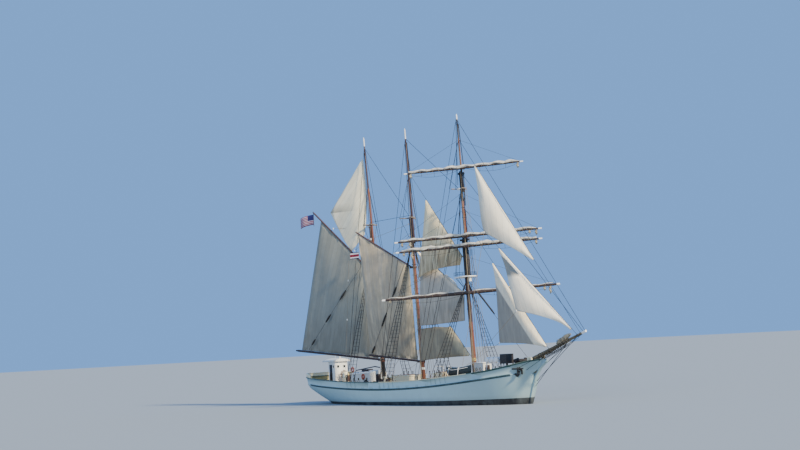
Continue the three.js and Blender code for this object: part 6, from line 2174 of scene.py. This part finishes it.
@dataclass
class Studio:
    """Floor, light and camera at the photograph's angle."""

    camera_place: Point = (129.672, -93.628, 7.093)
    camera_aim: Point = (7.584, -7.426, 19.892)
    camera_up: Point = (0.09941, -0.00694, 0.99502)
    focal_pixels: float = 1400.0
    image_width: float = 800.0
    floor_half: float = 600.0
    floor_colour: Colour = (0.30, 0.335, 0.36)
    sky_colour: Colour = (0.20, 0.44, 0.93)

    def build(self) -> None:
        """Sets the floor, the lights, the sky and the camera."""
        self.floor()
        self.sky()
        self.sun("key_light", (0.84, 0.12, 0.53), 7.0, (1.0, 0.88, 0.66), 4.0)
        self.sun("fill_light", (0.35, -0.85, 0.45), 0.6, (1.0, 0.97, 0.92), 25.0)
        self.camera()

    def floor(self) -> None:
        """Wide pale floor at the waterline."""
        deselect()
        bpy.ops.mesh.primitive_grid_add(x_subdivisions=2, y_subdivisions=2, size=2 * self.floor_half)
        floor = bpy.context.active_object
        floor.name = "studio_floor"
        material = bpy.data.materials.new("pale floor")
        material.use_nodes = True
        shader = material.node_tree.nodes["Principled BSDF"]
        shader.inputs["Base Color"].default_value = (*self.floor_colour, 1)
        shader.inputs["Roughness"].default_value = 0.9
        floor.data.materials.append(material)

    def sky(self) -> None:
        """Even blue light from all round, as from a clear sky."""
        world = bpy.data.worlds.new("studio")
        bpy.context.scene.world = world
        world.use_nodes = True
        background = world.node_tree.nodes["Background"]
        background.inputs["Color"].default_value = (*self.sky_colour, 1)
        background.inputs["Strength"].default_value = 1.0

    def sun(self, name: str, toward: Point, strength: float, colour: Colour, spread: float) -> None:
        """Distant soft light.

        Args:
            name: name of the light.
            toward: direction from the ship to the light.
            strength: its strength.
            colour: its colour.
            spread: its width in degrees.
        """
        light = bpy.data.lights.new(name, "SUN")
        light.energy = strength
        light.color = colour
        light.angle = math.radians(spread)
        obj = bpy.data.objects.new(name, light)
        obj.rotation_euler = Vector(toward).to_track_quat("Z", "Y").to_euler()
        bpy.context.scene.collection.objects.link(obj)

    def camera(self) -> None:
        """Camera where the photograph was taken, leaning as far as the ship heels there."""
        data = bpy.data.cameras.new("camera")
        data.lens = self.focal_pixels / self.image_width * data.sensor_width
        data.clip_end = 1500
        camera = bpy.data.objects.new("camera", data)
        place, aim = at(*self.camera_place), at(*self.camera_aim)
        back = (place - aim).normalized()
        right = Vector(self.camera_up).cross(back).normalized()
        up = back.cross(right)
        turn = Matrix((right, up, back)).transposed().to_4x4()
        camera.matrix_world = Matrix.Translation(place) @ turn
        bpy.context.scene.collection.objects.link(camera)
        bpy.context.scene.camera = camera


def main() -> None:
    """Builds every sub-assembly in order."""
    logging.basicConfig(level=logging.INFO, format="%(message)s")
    deselect()
    HullDress().build()
    MastDress().build()
    SailLoft().build()
    YardDress().build()
    GaffRigDress("main", MAIN, 7.2, 0.78, 11).build()
    GaffRigDress("mizzen", MIZZEN, 7.4, 0.8, 10).build()
    BowspritDress().build()
    DeckDress().build()
    StandingRigging().build()
    RunningRigging().build()
    Studio().build()


if __name__ == "__main__":
    main()
